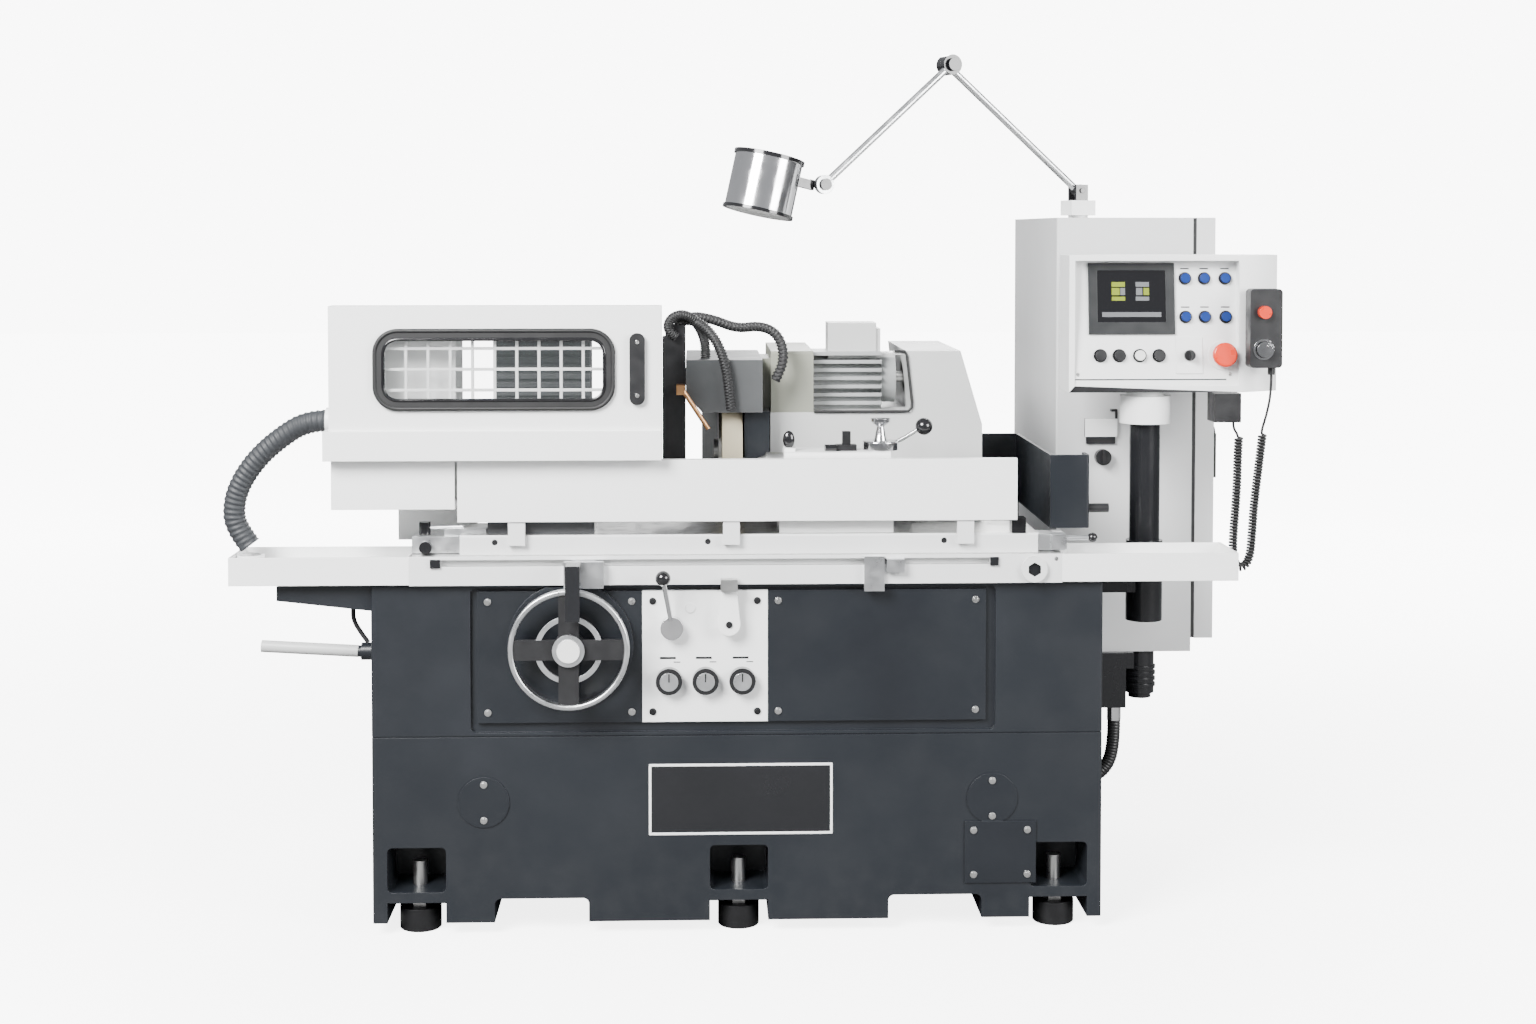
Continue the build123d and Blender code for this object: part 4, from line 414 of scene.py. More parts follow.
def route_curve(points):
    """A smooth NURBS curve that has these control points."""
    curve = bpy.data.curves.new("route", "CURVE")
    curve.dimensions = "3D"
    spline = curve.splines.new("NURBS")
    spline.points.add(len(points) - 1)
    for control, point in zip(spline.points, points):
        control.co = (*point, 1)
    spline.order_u = 3
    spline.use_endpoint_u = True
    spline.resolution_u = 6
    return curve


def centreline(points):
    """Points along the smooth curve of these control points."""
    holder = bpy.data.objects.new("route", route_curve(points))
    mesh = bpy.data.meshes.new_from_object(holder)
    line = [vertex.co.copy() for vertex in mesh.vertices]
    bpy.data.objects.remove(holder)
    return line


def run_length(line):
    """Length along a line of points."""
    return sum((two - one).length for one, two in zip(line, line[1:]))


def evenly(line, count):
    """count + 1 places spread evenly along a line, each with its direction and an untwisted side."""
    whole = run_length(line)
    side = Vector((0, 1, 0))
    places, index, passed = [], 0, 0.0
    for step in range(count + 1):
        way = whole * step / count
        while index < len(line) - 2 and passed + (line[index + 1] - line[index]).length < way:
            passed += (line[index + 1] - line[index]).length
            index += 1
        stretch = line[index + 1] - line[index]
        forward = stretch.normalized()
        side = (side - forward * side.dot(forward)).normalized()
        places.append((line[index] + forward * (way - passed), forward, side.copy()))
    return places


def tube(name, line, count, radius, sides=16):
    """A closed mesh tube. radius is a number, or a function of the length's share and the angle."""
    size = radius if callable(radius) else lambda share, angle: radius
    mesh = bpy.data.meshes.new(name)
    rings = []
    for step, (middle, forward, side) in enumerate(evenly(line, count)):
        across = forward.cross(side)
        for turn in range(sides):
            angle = 2 * pi * turn / sides
            rings.append(middle + (side * cos(angle) + across * sin(angle)) * size(step / count, angle))
    faces = []
    for ring in range(0, count * sides, sides):
        for k in range(sides):
            after = (k + 1) % sides
            faces.append((ring + k, ring + after, ring + sides + after, ring + sides + k))
    faces += [tuple(reversed(range(sides))), tuple(count * sides + k for k in range(sides))]
    mesh.from_pydata(rings, [], faces)
    mesh.shade_smooth()
    mesh.set_sharp_from_angle(angle=radians(60))
    return mesh


print("piece makers ready")

# %% [markdown]
# ## The pendant's curly cord
# The hand-held unit hangs on a lead that is plain at both ends and wound like a telephone cord between. Its
# own weight pulls it into a long loop below the panel. A curly cord is a helix wrapped round the line that
# the loop follows. So we take that line from a smooth curve and carry a frame along it: one turn of the
# helix is a dozen points around the line, at the same pitch all the way.

# %% Curly cord
PENDANT_LEFT = 1277
PANEL_BOTTOM = 1281
CORD_RADIUS = 0.00325
COIL_RADIUS = 0.0086
TURN_PITCH = 0.0078
STEPS_PER_TURN = 12
CORD_RINGS = 2600


def pendant_point(x, y, down):
    """A point of the cord: x from the pendant's left side, down from the panel's lower edge."""
    return at(PENDANT_LEFT + x, y, PANEL_BOTTOM - down)


plain_down = [pendant_point(60, 210, -47), pendant_point(60, 210, -2), pendant_point(51, 215, 52)]
loop = [(41, 217, 104), (35, 218, 160), (28, 219, 222), (21, 220, 290), (17, 220, 360), (13, 220, 412),
        (-1, 220, 438), (-20, 220, 438), (-31, 220, 411), (-30, 220, 356), (-25, 220, 290), (-21, 221, 222),
        (-20, 222, 160), (-17, 224, 112)]
plain_up = [pendant_point(-30, 229, 88), pendant_point(-30, 229, 73)]


def helix(line, radius, pitch, steps):
    """Points of a helix round a line."""
    points = []
    for k, (middle, forward, side) in enumerate(evenly(line, round(run_length(line) / pitch) * steps)):
        angle = 2 * pi * k / steps
        points.append(middle + (side * cos(angle) + forward.cross(side) * sin(angle)) * radius)
    return points


turns = helix(centreline([pendant_point(*p) for p in loop]), COIL_RADIUS, TURN_PITCH, STEPS_PER_TURN)
lead_in = turns[0] + Vector((0.001, 0, 0.013))
lead_out = turns[-1] + Vector((-0.002, 0, 0.009))
cord_line = centreline(plain_down + [lead_in] + turns + [lead_out] + plain_up)
cord_mesh = tube("pendant_cord", cord_line, CORD_RINGS, CORD_RADIUS, 10)
cord = piece("pendant_cord", cord_mesh, "panel", "rubber", RUBBER, "coil_cord")
round(run_length(cord_line), 2)
print("curly cord of", round(run_length(cord_line), 2), "m")

# %% [markdown]
# ## Hoses
# The big grey hose at the left end carries the workhead's cables inside a fabric sleeve, which wrinkles
# where it bends. The coolant hoses are wrapped in a braid, and the pump's hose is plain ribbed rubber. All
# are tubes whose radius waves along their length: slow and deep for wrinkles, quick and slanted for a
# braid.

# %% Hoses
SLEEVE = plastic("hose_sleeve", (0.018, 0.02, 0.023), 0.6, 500.0, 0.0003, 0.5)
BRAID = plastic("hose_braid", (0.006, 0.006, 0.0065), 0.55, 260.0, 0.0009, 0.8)
RINGS_PER_RIB = 8


def bed_points(*points):
    """Bed millimetres of several points, as points in the frame."""
    return [at(*p) for p in points]


def ribbed(size, ribs, depth, slant=0, second=0.0):
    """Radius of a ribbed hose; slant is how many ribs a line round it crosses."""
    return lambda share, angle: size + depth * (sin(2 * pi * ribs * share + slant * angle)
                                                + second * sin(2 * pi * ribs * share - slant * angle))


def hose(name, points, size, ribs, depth, body, material, *stands_for, slant=0, second=0.0,
         stiffness="stiff"):
    """A hose that leaves and enters the machine; its length is printed."""
    line = centreline(points)
    mesh = tube(name, line, ribs * RINGS_PER_RIB, ribbed(size, ribs, depth, slant, second), 24)
    made = piece(name, mesh, body, "rubber", material, *stands_for)
    round(run_length(line), 3)
    print(name, "is", round(run_length(line), 3), "m long")


conduit = bed_points((-988, 68, 1232), (-1036, 68, 1232), (-1105, 68, 1187), (-1156, 68, 1140),
                     (-1195, 68, 1083), (-1212, 68, 1028), (-1207, 68, 976), (-1173, 68, 932))
front_hose = bed_points((-150, 220, 1455), (-132, 214, 1469), (-92, 200, 1461), (-56, 174, 1425),
                        (-34, 153, 1377), (-22, 151, 1315), (-16, 152, 1247))
over_hose = bed_points((-150, 252, 1455), (-120, 254, 1477), (-60, 256, 1467), (0, 254, 1443),
                       (56, 250, 1451), (98, 232, 1435), (116, 214, 1393), (112, 204, 1349), (94, 206, 1317))
loop_hose = bed_points((-150, 188, 1425), (-166, 186, 1436), (-172, 184, 1456), (-160, 184, 1475),
                       (-134, 188, 1483), (-104, 202, 1467), (-84, 227, 1432), (-78, 240, 1398),
                       (-78, 240, 1370))
pump_hose = bed_points((1026, 610, 367), (1026, 610, 292), (1004, 610, 232), (953, 610, 204),
                       (902, 610, 230), (880, 610, 272), (880, 610, 312))
hose("workhead_conduit", conduit, 0.0258, 34, 0.0011, "swivel", SLEEVE, "conduit", slant=1)
for name, route in (("coolant_hose_front", front_hose), ("coolant_hose_over", over_hose),
                    ("coolant_hose_loop", loop_hose)):
    hose(name, route, 0.0118, 40, 0.0009, "wheelhead", BRAID, slant=3, second=1.0, stiffness="medium")
hose("hydraulic_loop", pump_hose, 0.0175, 42, 0.0006, "bed", HOSE_RUBBER, "hydraulic_hose")
return_line = centreline(bed_points((966, 610, 397), (966, 610, 371), (938, 610, 357), (872, 610, 357)))
piece("return_hose", tube("return_hose", return_line, 60, 0.0078), "bed", "rubber", HOSE_RUBBER)
print("six hoses")

# %% [markdown]
# ## Pieces with several finishes
# A handwheel is one casting, but its rim is polished and its spokes are black. A copy of the CAD piece
# keeps the true shape, and a small rule gives each face its finish from where it is. The rule gets the
# middle of the face and its direction, and the box of the separate lump that the face belongs to. A face
# points to the front when its y direction is under TO_FRONT, and to the top when its z direction is over
# TO_TOP.

# %% Copies with a finish per face
BODY_OF = {node: body for body, nodes in frame["record"]["behaviour"]["bodies"].items() for node in nodes}
SHARP_ANGLE = radians(32)
TO_FRONT = -0.9
TO_TOP = 0.9


def lumps(work):
    """The box in bed millimetres of the lump that each face is in."""
    boxes, seen = {}, set()
    for first in work.faces:
        if first.index in seen:
            continue
        seen.add(first.index)
        lump, queue = [], [first]
        while queue:
            face = queue.pop()
            lump.append(face)
            for edge in face.edges:
                for other in edge.link_faces:
                    if other.index not in seen:
                        seen.add(other.index)
                        queue.append(other)
        places = [(vertex.co - BED_ORIGIN) * 1000 for face in lump for vertex in face.verts]
        low = Vector([min(p[k] for p in places) for k in range(3)])
        high = Vector([max(p[k] for p in places) for k in range(3)])
        for face in lump:
            boxes[face.index] = (low, high)
    return boxes


def faced(node, slot, finishes, choose):
    """Replaces a CAD piece with a copy whose faces have several finishes.

    choose(middle, direction, low, high) gives a number in finishes, or None to leave the face out.
    """
    mesh = frame["nodes"][node].data.copy()
    mesh.materials.clear()
    for finish in finishes:
        mesh.materials.append(finish)
    if "custom_normal" in mesh.attributes:
        mesh.attributes.remove(mesh.attributes["custom_normal"])
    work = bmesh.new()
    work.from_mesh(mesh)
    bmesh.ops.remove_doubles(work, verts=work.verts, dist=1e-6)
    work.faces.index_update()
    work.faces.ensure_lookup_table()
    boxes = lumps(work)
    unwanted = []
    for face in work.faces:
        middle = (face.calc_center_median() - BED_ORIGIN) * 1000
        chosen = choose(middle, face.normal, *boxes[face.index])
        if chosen is None:
            unwanted.append(face)
        else:
            face.material_index = chosen
    bmesh.ops.delete(work, geom=unwanted, context="FACES")
    work.to_mesh(mesh)
    work.free()
    piece(node + "_finished", mesh, BODY_OF[node], slot, finishes[0], node)
    mesh.shade_smooth()
    mesh.set_sharp_from_angle(angle=SHARP_ANGLE)


def near(middle, x, z, radius):
    """Whether a point is within a circle seen from the front."""
    return hypot(middle.x - x, middle.z - z) < radius


print("face rules ready")

# %% [markdown]
# ## Controls on the bed
# The operator's hands polish what they touch. The handwheel has a bright rim and inner ring on broad black
# spokes, the table lever ends in a black ball, and the reversing lever is a white teardrop. The three speed
# knobs have a black grip and a light face.

# %% Wheel, levers and knobs
WHEEL_X, WHEEL_Z = -402, 702
SPOKE_EDGE = 25
RIM_INSIDE = 127
GRIP_RING = (66, 82)
HUB_RING = (26, 39)
HUB_CAP = 27.5
TABLE_LEVER_BALL_Z = 856
REVERSING_X, REVERSING_Z = -24, 752
KNOB_XS = (-167, -80, 8)
KNOB_Z = 614
KNOB_FACE = (-30.2, -29.5)


def wheel_finish(middle, direction, low, high):
    """A bright rim, grip ring and hub ring, a white hub cap and black spokes."""
    across, up = abs(middle.x - WHEEL_X), abs(middle.z - WHEEL_Z)
    reach = hypot(across, up)
    on_spoke = min(across, up) < SPOKE_EDGE
    if reach > RIM_INSIDE or (GRIP_RING[0] < reach < GRIP_RING[1] and not on_spoke):
        return 0
    if reach < HUB_CAP and middle.y < -90.5:
        return 2
    return 0 if HUB_RING[0] < reach < HUB_RING[1] and middle.y < -88 else 1


def reversing_finish(middle, direction, low, high):
    """A white lever with a bright upper end and a black cap on its hub."""
    if near(middle, REVERSING_X, REVERSING_Z, 8.5) and middle.y < -34.1:
        return 2
    return int(middle.z > REVERSING_Z + 81 and middle.y < -20)


faced("handwheel", "aluminium", [ALUMINIUM, BLACK_PLASTIC, WHITE_PLASTIC], wheel_finish)
faced("table_lever", "aluminium", [CHROME, BAKELITE], lambda m, d, low, high: int(m.z > TABLE_LEVER_BALL_Z))
faced("reversing_lever", "white_paint", [WHITE_PAINT, GROUND_STEEL, BAKELITE], reversing_finish)
for number, x in enumerate(KNOB_XS, 1):
    faced(f"speed_knob_{number}", "black_plastic", [BAKELITE, ALUMINIUM],
          lambda m, d, low, high, x=x: int(near(m, x, KNOB_Z, 22.1) and KNOB_FACE[0] < m.y < KNOB_FACE[1]
                                           and d.y < TO_FRONT))
print("controls done")

# %% Plates, nameplate and screws
NAMEPLATE_X = (-217, 0)
NAMEPLATE_TOP = 412
CONTROL_PLATE_X = (-231, 69)


def cover_finish(middle, direction, low, high):
    """Dark covers, and a blank nameplate: white with a black field."""
    if high.z > NAMEPLATE_TOP or low.x < NAMEPLATE_X[0] or low.x > NAMEPLATE_X[1]:
        return 0
    return 1 if middle.y > -1.5 and direction.y < TO_FRONT else 2


def screw_finish(middle, direction, low, high):
    """Blackened screws on the control plate and plain ones elsewhere."""
    return int(CONTROL_PLATE_X[0] < low.x and high.x < CONTROL_PLATE_X[1] and low.z > 500)


def drain_finish(middle, direction, low, high):
    """A dark pipe with a pale lower end and a rubber sleeve near the top."""
    if low.x < -1140 and high.z < 705:
        return 1
    return 2 if high.x - low.x < 60 and high.z > 750 else 0


faced("bed_covers", "dark_paint", [COVER_PAINT, BLACK_PAINT, WHITE_PAINT], cover_finish)
faced("cover_screws", "steel", [TURNED_STEEL, BLACK_STEEL], screw_finish)
faced("drain_pipe", "dark_paint", [COVER_PAINT, COVER_GREY_WITH_PAINTED_SHADE, RUBBER], drain_finish)
faced("levelling_feet", "steel", [BLACK_STEEL, GROUND_STEEL],
      lambda m, d, low, high: int(m.z > 57 or low.z > 50))
print("plates done")

# %% [markdown]
# ## Table, guards and door
# The tables are white on their painted sides and ground on top. The door's window has a thick rubber
# seal with an inner lip, a tinted pane and a safety grille behind it.

# %% Tables, clamps and dogs
def lower_table_finish(middle, direction, low, high):
    """Black blocks and a black knob in front, ground ways below and ground tops."""
    on_block = middle.y < -20.5 and (middle.x < -700 or 590 < middle.x < 640)
    on_knob = near(middle, 706, 879, 16) and middle.y < -22
    if on_block or on_knob:
        return 1
    return 2 if middle.z < 845 or direction.z > TO_TOP else 0


def swivel_table_finish(middle, direction, low, high):
    """A ground top, and black walls in the holes in the front, which are painted shade."""
    if direction.z > TO_TOP:
        return 1
    # Painted shade: the walls of the holes in the front are black.
    return 2 if 0.05 < middle.y < 6.5 and 930 < middle.z < 954 and abs(middle.x) < 650 else 0


def clamp_finish(middle, direction, low, high):
    """Bright clamps with black screws and knobs, and blocks painted like the table in front."""
    if high.y < 0.5 and low.y < -10:
        return 2
    is_small = high.y - low.y < 31 and high.x - low.x < 36
    return int(is_small or middle.x > 838 or low.x > 650 and high.x < 692)


faced("lower_table", "pale_paint", [TABLE_PAINT, BLACK_PAINT, GROUND_STEEL], lower_table_finish)
faced("swivel_table", "pale_paint", [TABLE_PAINT, GROUND_STEEL, BLACK_PAINT], swivel_table_finish)
faced("trip_dogs", "steel", [ALUMINIUM, BLACK_PAINT], lambda m, d, low, high: int(m.y < -46.5))
faced("table_clamps", "steel", [ALUMINIUM, BAKELITE, TABLE_PAINT], clamp_finish)
print("tables done")

# %% Door, window and handle
WINDOW_X, WINDOW_Z = (-859, -292), (1265, 1458)
PULL_LEFT = -270
SEAL_Y = -57
GLASS = Finish("window_pane", (0.08, 0.09, 0.09), 0.04, alpha=0.12).material
WORKHEAD_PAINT = paint("workhead_paint", (0.06, 0.062, 0.066), (0.12, 0.12, 0.12), 0.42)
SPINDLE_PAINT = paint("spindle_housing_paint", (0.22, 0.225, 0.185), (0.36, 0.36, 0.32), 0.4)
faced("door_window", "rubber", [RUBBER, GLASS], lambda m, d, low, high: int(low.x > WINDOW_X[0] + 19))
faced("sliding_door", "white_paint", [WHITE_PAINT, BLACK_PLASTIC],
      lambda m, d, low, high: int(low.x > PULL_LEFT))
faced("workhead_body", "dark_paint", [WORKHEAD_PAINT, COVER_GREY_WITH_PAINTED_SHADE],
      lambda m, d, low, high: int(m.z > 1234 and m.x < -520))


def rounded_loop(x, z, corner, y, steps=8):
    """Points of a rounded rectangle at depth y, in bed millimetres."""
    points = []
    for quarter, (cx, cz) in enumerate(((x[1] - corner, z[1] - corner), (x[0] + corner, z[1] - corner),
                                        (x[0] + corner, z[0] + corner), (x[1] - corner, z[0] + corner))):
        for step in range(steps + 1):
            angle = pi / 2 * (quarter + step / steps)
            points.append((cx + corner * cos(angle), y, cz + corner * sin(angle)))
    return points + points[:1]


def bead(name, points, radius, body, slot, material):
    """A round bead along a line of bed points."""
    line = bed_points(*points)
    piece(name, tube(name, line, len(line) * 4, radius, 10), body, slot, material)


for name, inset, corner, radius, finish in (("seal_outer_bead", 5, 53, 0.0045, RUBBER),
                                            ("seal_inner_bead", 25, 33, 0.0042, BAKELITE)):
    wide = (WINDOW_X[0] + inset, WINDOW_X[1] - inset)
    tall = (WINDOW_Z[0] + inset, WINDOW_Z[1] - inset)
    bead(name, rounded_loop(wide, tall, corner, SEAL_Y), radius, "guard_door", "rubber", finish)
print("door done")

# %% [markdown]
# ## Screws and plugs
# The door is pulled by a long black grip, held by two screws, and black plugs sit in the front of the
# table. Each is a turned head with a round recess: its profile is spun round the axis by one function.

# %% Screw heads, plugs and the pull's screws
def turned(name, profile, place, direction, body, slot, material, steps=28):
    """A turned piece. profile is (radius, height) in millimetres and starts and ends on the axis."""
    work = bmesh.new()
    rings = []
    for radius, height in profile:
        angles = [2 * pi * k / steps for k in range(steps if radius else 1)]
        rings.append([work.verts.new((radius * cos(a) / 1000, radius * sin(a) / 1000, height / 1000))
                      for a in angles])
    for one, two in zip(rings, rings[1:]):
        for k in range(steps):
            ring = [one[k % len(one)], one[(k + 1) % len(one)], two[(k + 1) % len(two)], two[k % len(two)]]
            work.faces.new(list(dict.fromkeys(ring)))
    bmesh.ops.recalc_face_normals(work, faces=work.faces)
    mesh = bpy.data.meshes.new(name)
    work.to_mesh(mesh)
    work.free()
    turn = Vector((0, 0, 1)).rotation_difference(Vector(direction)).to_matrix().to_4x4()
    mesh.transform(Matrix.Translation(place) @ turn)
    mesh.shade_smooth()
    mesh.set_sharp_from_angle(angle=SHARP_ANGLE)
    piece(name, mesh, body, slot, material)


SOCKET_HEAD = [(0, 0.2), (2.2, 0.2), (2.4, 1.6), (4.3, 1.6), (5.0, 1.0), (5.0, 0.0), (0, 0)]
PLUG_HEAD = [(0, 2), (3.4, 2), (3.6, 3), (6.3, 3), (6.6, 2.6), (6.6, 0), (0, 0)]
for k, z in enumerate((1300, 1426)):
    turned(f"pull_screw_{k + 1}", SOCKET_HEAD, at(-240, -62, z), (0, -1, 0),
           "guard_door", "steel", TURNED_STEEL, 16)
for k, x in enumerate((-581, -74, 492)):
    turned(f"table_plug_{k + 1}", PLUG_HEAD, at(x, 3.2, 946), (0, -1, 0),
           "swivel", "black_plastic", BLACK_STEEL, 18)
print("screws placed")

# %% [markdown]
# ## Wheelhead
# The grinding wheel runs under a grey sheet hood. Behind the guard stand the spindle housing in a greenish
# grey, the finned motor and the pale cover, whose opening round the motor is edged with black rubber.

# %% Wheelhead finishes
COPPER = metal("copper_pipe", (0.6, 0.33, 0.16), 0.34)
MOTOR_Y = 430
MOTOR_BOX_HALF = 56
BAY_EDGE = [(194, 258, 1234), (430, 258, 1234), (439, 258, 1240), (441, 258, 1252), (427, 258, 1378),
            (425, 258, 1384), (420, 258, 1386), (396, 258, 1386)]


def coolant_finish(middle, direction, low, high):
    """A black column and a copper nozzle. The CAD hoses are left out, since braided ones are here."""
    if low.x >= -184 and (high.z >= 1315 or high.y >= 200):
        return None
    return int(low.y < 165 and high.z < 1315)


faced("wheelhead_housing", "pale_paint", [SPINDLE_PAINT, BED_PAINT],
      lambda m, d, low, high: int(low.z < 1100))
faced("wheel_guard", "dark_paint", [HOOD_GREY, BED_PAINT],
      lambda m, d, low, high: int(m.x > 17 and m.z < 1239))
faced("coolant_hoses", "steel", [BLACK_STEEL, COPPER], coolant_finish)
faced("drive_motor", "pale_paint", [MOTOR_PAINT, COVER_GREY_WITH_PAINTED_SHADE],
      lambda m, d, low, high: int(m.z > 1363 and abs(m.y - MOTOR_Y) < MOTOR_BOX_HALF))
bead("motor_bay_edge", BAY_EDGE, 0.0036, "wheelhead", "rubber", RUBBER)
faced("wheel_spindle", "steel", [GROUND_STEEL, BLACK_STEEL], lambda m, d, low, high: int(m.x > 440))
faced("splash_guard", "dark_paint", [COVER_PAINT, BLACK_PLASTIC], lambda m, d, low, high: int(m.x > 854))
print("wheelhead done")

# %% Tailstock finishes
TAILSTOCK_TOP = 1156
TAILSTOCK_BALL = Vector((452, 85, 1212))
BALL_REACH = 22


def tailstock_finish(middle, direction, low, high):
    """A white casting. The fittings on its top are black plastic, and the tallest is blackened steel."""
    if low.z < TAILSTOCK_TOP - 1:
        return 0
    if low.x > 200 and high.z > TAILSTOCK_TOP + 30:
        return 2
    return int(low.x > 200 or middle.z > TAILSTOCK_TOP + 8.5)


faced("tailstock_body", "white_paint", [WHITE_PAINT, BAKELITE, BLACK_STEEL], tailstock_finish)
faced("tailstock_lever", "chrome", [CHROME, BAKELITE],
      lambda m, d, low, high: int((m - TAILSTOCK_BALL).length < BALL_REACH))
print("tailstock done")

# %% [markdown]
# ## Cabinet
# The cabinet's hasp plate is white with a black lip, the switch is black, and the door stands on a dark
# seal.

# %% Cabinet finishes
DEVICE_GREY = plastic("device_plastic", (0.32, 0.33, 0.34), 0.4)
CABINET_FRONT = 559
DOOR_SEAL_RIGHT = 1232


def cabinet_finish(middle, direction, low, high):
    """Grey devices inside, black plastic and a white hasp plate on the front, pale paint elsewhere."""
    if low.x > 858 and high.x < 1100 and low.y > 600:
        return 1
    on_front = middle.y < CABINET_FRONT
    if high.y < 562 and high.z > 1200 or on_front and (direction.y > -0.5 or middle.z < 1140):
        return 2
    return 3 if on_front else 0


faced("cabinet_body", "pale_paint", [CABINET_PAINT_WITH_PAINTED_SHADE, DEVICE_GREY, BLACK_PLASTIC, WHITE_PAINT], cabinet_finish)
faced("cabinet_door", "pale_paint", [CABINET_PAINT_WITH_PAINTED_SHADE, RUBBER],
      lambda m, d, low, high: int(high.x < DOOR_SEAL_RIGHT))
faced("hydraulic_unit", "dark_paint", [BLACK_PAINT, CHROME],
      lambda m, d, low, high: int(high.z < 420 and high.x > 1010))
print("cabinet done")

# %% [markdown]
# ## Operator panel
# The fascia leans back a little, so places on it are given by x and z and a height over its face. The
# screen is dark glass in a grey bezel and shows a few plain blocks. Six blue lamps sit in black rings.
# Below them are four push buttons, a key switch and a red mushroom button.

# %% Panel finishes
FASCIA_Z = (1297, 1612)
FASCIA_Y = 253
LEAN = 37
LEAN_ANGLE = radians(6.7)
POST_X = 1045
SCREEN_X, SCREEN_Z = 997, 1522
LIGHTS = [(POST_X + dx, z) for dx in (89, 138, 191) for z in (1470, 1567)]
CORNERS = ((-1, -1), (1, -1), (1, 1), (-1, 1))


def fascia_y(z):
    """Depth of the leaning fascia at that height."""
    return FASCIA_Y + LEAN * (z - FASCIA_Z[0]) / (FASCIA_Z[1] - FASCIA_Z[0])


def over_fascia(middle):
    """Height of a point over the fascia."""
    return (fascia_y(middle.z) - middle.y) * cos(LEAN_ANGLE)


def on_fascia(x, z, height):
    """The point at that height over the fascia."""
    return at(x, fascia_y(z) - height * cos(LEAN_ANGLE), z + height * sin(LEAN_ANGLE))


def panel_finish(middle, direction, low, high):
    """A white box. Its small lumps are lamps, the wide one is the screen and the outer ones are black."""
    height = over_fascia(middle)
    if high.x - low.x < 40 and low.z > 1440:
        return 3 if height > 5.2 else 4
    if 200 < high.x - low.x < 240:
        on_glass = abs(middle.x - SCREEN_X) < 87 and abs(middle.z - SCREEN_Z) < 66
        return 2 if 3.5 < height < 4.5 and on_glass else 1
    is_socket = low.x > 1190 and high.z < 1290 and high.y < 300
    is_holder = low.x > 1270 and high.z > 1450 and low.z > 1400
    if is_socket or is_holder:
        return 5
    return 4 if middle.x < POST_X + 40 and middle.z < 1400 and 0.3 < height < 3.5 else 0


BEZEL = plastic("screen_bezel", (0.014, 0.015, 0.016), 0.4)
DISPLAY = Finish("display_glass", (0.004, 0.004, 0.005), 0.08, coat_weight=0.6, coat_roughness=0.03).material
BLUE_LENS = plastic("blue_lens", (0.008, 0.03, 0.17), 0.16, depth=0.00001, coat_weight=0.5)
faced("panel_box", "white_paint", [WHITE_PAINT, BEZEL, DISPLAY, BLUE_LENS, BLACK_STEEL, BLACK_PLASTIC],
      panel_finish)


def glow(name, colour, strength):
    """A finish that shines a little by itself."""
    lit = Finish(name, colour, 0.4, emission_color=(*colour, 1))
    lit.shader.inputs["Emission Strength"].default_value = strength
    return lit.material


def box_mesh(name, corners):
    """A box of eight corners: four at the back and the same four in front."""
    faces = [(3, 2, 1, 0), (4, 5, 6, 7)] + [(k, (k + 1) % 4, 4 + (k + 1) % 4, 4 + k) for k in range(4)]
    mesh = bpy.data.meshes.new(name)
    mesh.from_pydata(corners, [], faces)
    return mesh


def fascia_tile(name, x, z, width, height, low, high, slot, material):
    """A thin plate on the fascia."""
    corners = [on_fascia(x + a * width / 2, z + b * height / 2, level)
               for level in (low, high) for a, b in CORNERS]
    piece(name, box_mesh(name, corners), "panel", slot, material)


LIME = glow("display_lime", (0.16, 0.2, 0.004), 0.3)
PALE_BLOCK = glow("display_grey", (0.11, 0.115, 0.12), 0.25)
BLOCKS = [(-33, 30, 34, 12, LIME), (-40, 12, 20, 18, LIME), (-22, 12, 12, 18, PALE_BLOCK),
          (-33, -6, 34, 10, LIME), (28, 30, 34, 12, PALE_BLOCK), (20, 12, 16, 18, PALE_BLOCK),
          (38, 12, 14, 18, LIME), (28, -6, 34, 10, PALE_BLOCK),
          (0, -46, 150, 12, PALE_BLOCK)]
for k, (dx, dz, width, height, finish) in enumerate(BLOCKS):
    fascia_tile(f"display_block_{k + 1}", SCREEN_X + dx, SCREEN_Z + dz, width, height, 4.0, 4.4,
                "black_plastic", finish)
fascia_tile("fascia_slot", POST_X - 10, 1313, 400, 3, 0, 0.5, "rubber", RUBBER)
for k, x in enumerate((-186, 200)):
    turned(f"fascia_screw_{k + 1}", SOCKET_HEAD, on_fascia(POST_X + x, 1326, 0),
           (0, -cos(LEAN_ANGLE), sin(LEAN_ANGLE)), "panel", "steel", TURNED_STEEL, 14)
for k, (x, z) in enumerate(LIGHTS):
    fascia_tile(f"light_label_{k + 1}", x, z + 25, 22, 3, 0, 0.4, "black_plastic", BEZEL)


def pendant_finish(middle, direction, low, high):
    """A black case, a red stop button and a bright ring round the dial."""
    if low.z > 1460 and high.x - low.x < 40:
        return 1
    return 2 if high.x - low.x > 50 and high.z - low.z < 60 else 0


faced("pendant", "black_plastic", [BLACK_PLASTIC, RED_PLASTIC, CHROME], pendant_finish)
print("panel done")

# %% [markdown]
# ## Marks on the white plate
# A short black mark over each knob says which way is more. They are plain bars, with no words.

# %% Bars over the knobs
MARK_HEIGHT = 0.6


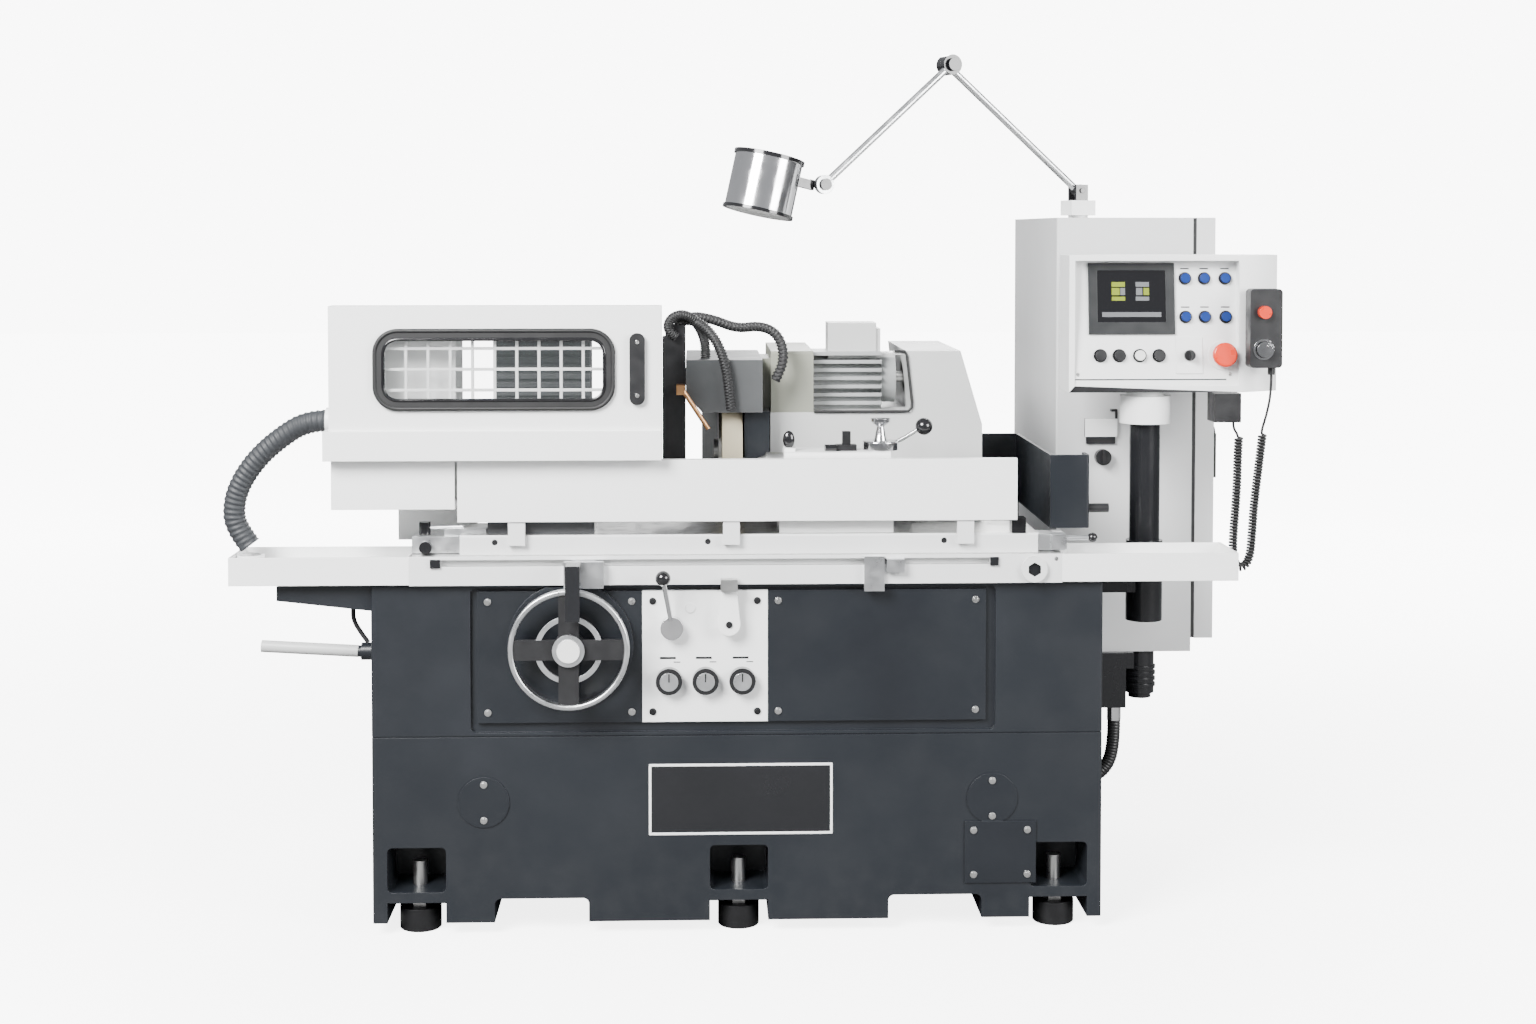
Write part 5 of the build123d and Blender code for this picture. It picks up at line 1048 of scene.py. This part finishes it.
def mark(name, x, z, width, height, y, body, slot, material):
    """A plain raised bar that faces the operator."""
    corners = [at(x + a * width / 2, deep, z + b * height / 2)
               for deep in (y, y - MARK_HEIGHT) for a, b in CORNERS]
    piece(name, box_mesh(name, corners), body, slot, material)


for number, x in enumerate((-170, -84, 4), 1):
    mark(f"knob_bar_{number}", x, 667, 38, 5, -2, "bed", "black_plastic", BLACK_PLASTIC)
    mark(f"knob_scale_{number}", x + 22, 657, 16, 2, -2, "bed", "black_plastic", BLACK_PLASTIC)
print("marks done")

# %% [markdown]
# ## Work lamp
# Two aluminium arms with black knuckles carry a polished can. Its rims and bracket are black and the glass
# below is frosted.

# %% Lamp finishes
LAMP_FOOT = Vector((919, 600, 1795))
ARM_WAY = Vector((cos(radians(19.6)), sin(radians(19.6)), 0))
ELBOW = LAMP_FOOT + ARM_WAY * -388 + Vector((0, 0, 323))
WRIST = LAMP_FOOT + ARM_WAY * -745 + Vector((0, 0, 10))
CAN_MIDDLE = LAMP_FOOT + ARM_WAY * -903 + Vector((0, 0, 8))
CAN_WAY = ARM_WAY * sin(radians(13)) + Vector((0, 0, cos(radians(13))))
RIM_FROM = 64.5
FROST = glow("frosted_glass", (0.8, 0.8, 0.78), 0.2)


def lamp_finish(middle, direction, low, high):
    """A polished can with black rims and bracket, and the frosted glass, which is the flat wide lump."""
    if high.z - low.z < 60 and high.x - low.x > 120:
        return 2
    along = (middle - CAN_MIDDLE).dot(CAN_WAY)
    return int(abs(along) > RIM_FROM or (middle - WRIST).length < 60)


faced("lamp_base", "chrome", [WHITE_PAINT, BAKELITE], lambda m, d, low, high: int(m.z > 1770))
faced("lamp_lower_arm", "aluminium", [ALUMINIUM, BAKELITE],
      lambda m, d, low, high: int((m - ELBOW).length < 46 or (m - LAMP_FOOT).length < 24))
faced("lamp_upper_arm", "aluminium", [ALUMINIUM, BAKELITE],
      lambda m, d, low, high: int((m - ELBOW).length < 44))
faced("lamp_head", "aluminium", [CHROME, BAKELITE, FROST], lamp_finish)
print("lamp done")

# %% Finish
visual_box = [list(corner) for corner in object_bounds()]
gaps = [abs(a - b) for one, two in zip(cad_box, visual_box) for a, b in zip(one, two)]
print("largest difference in mm:", round(max(gaps) * 1000, 1))
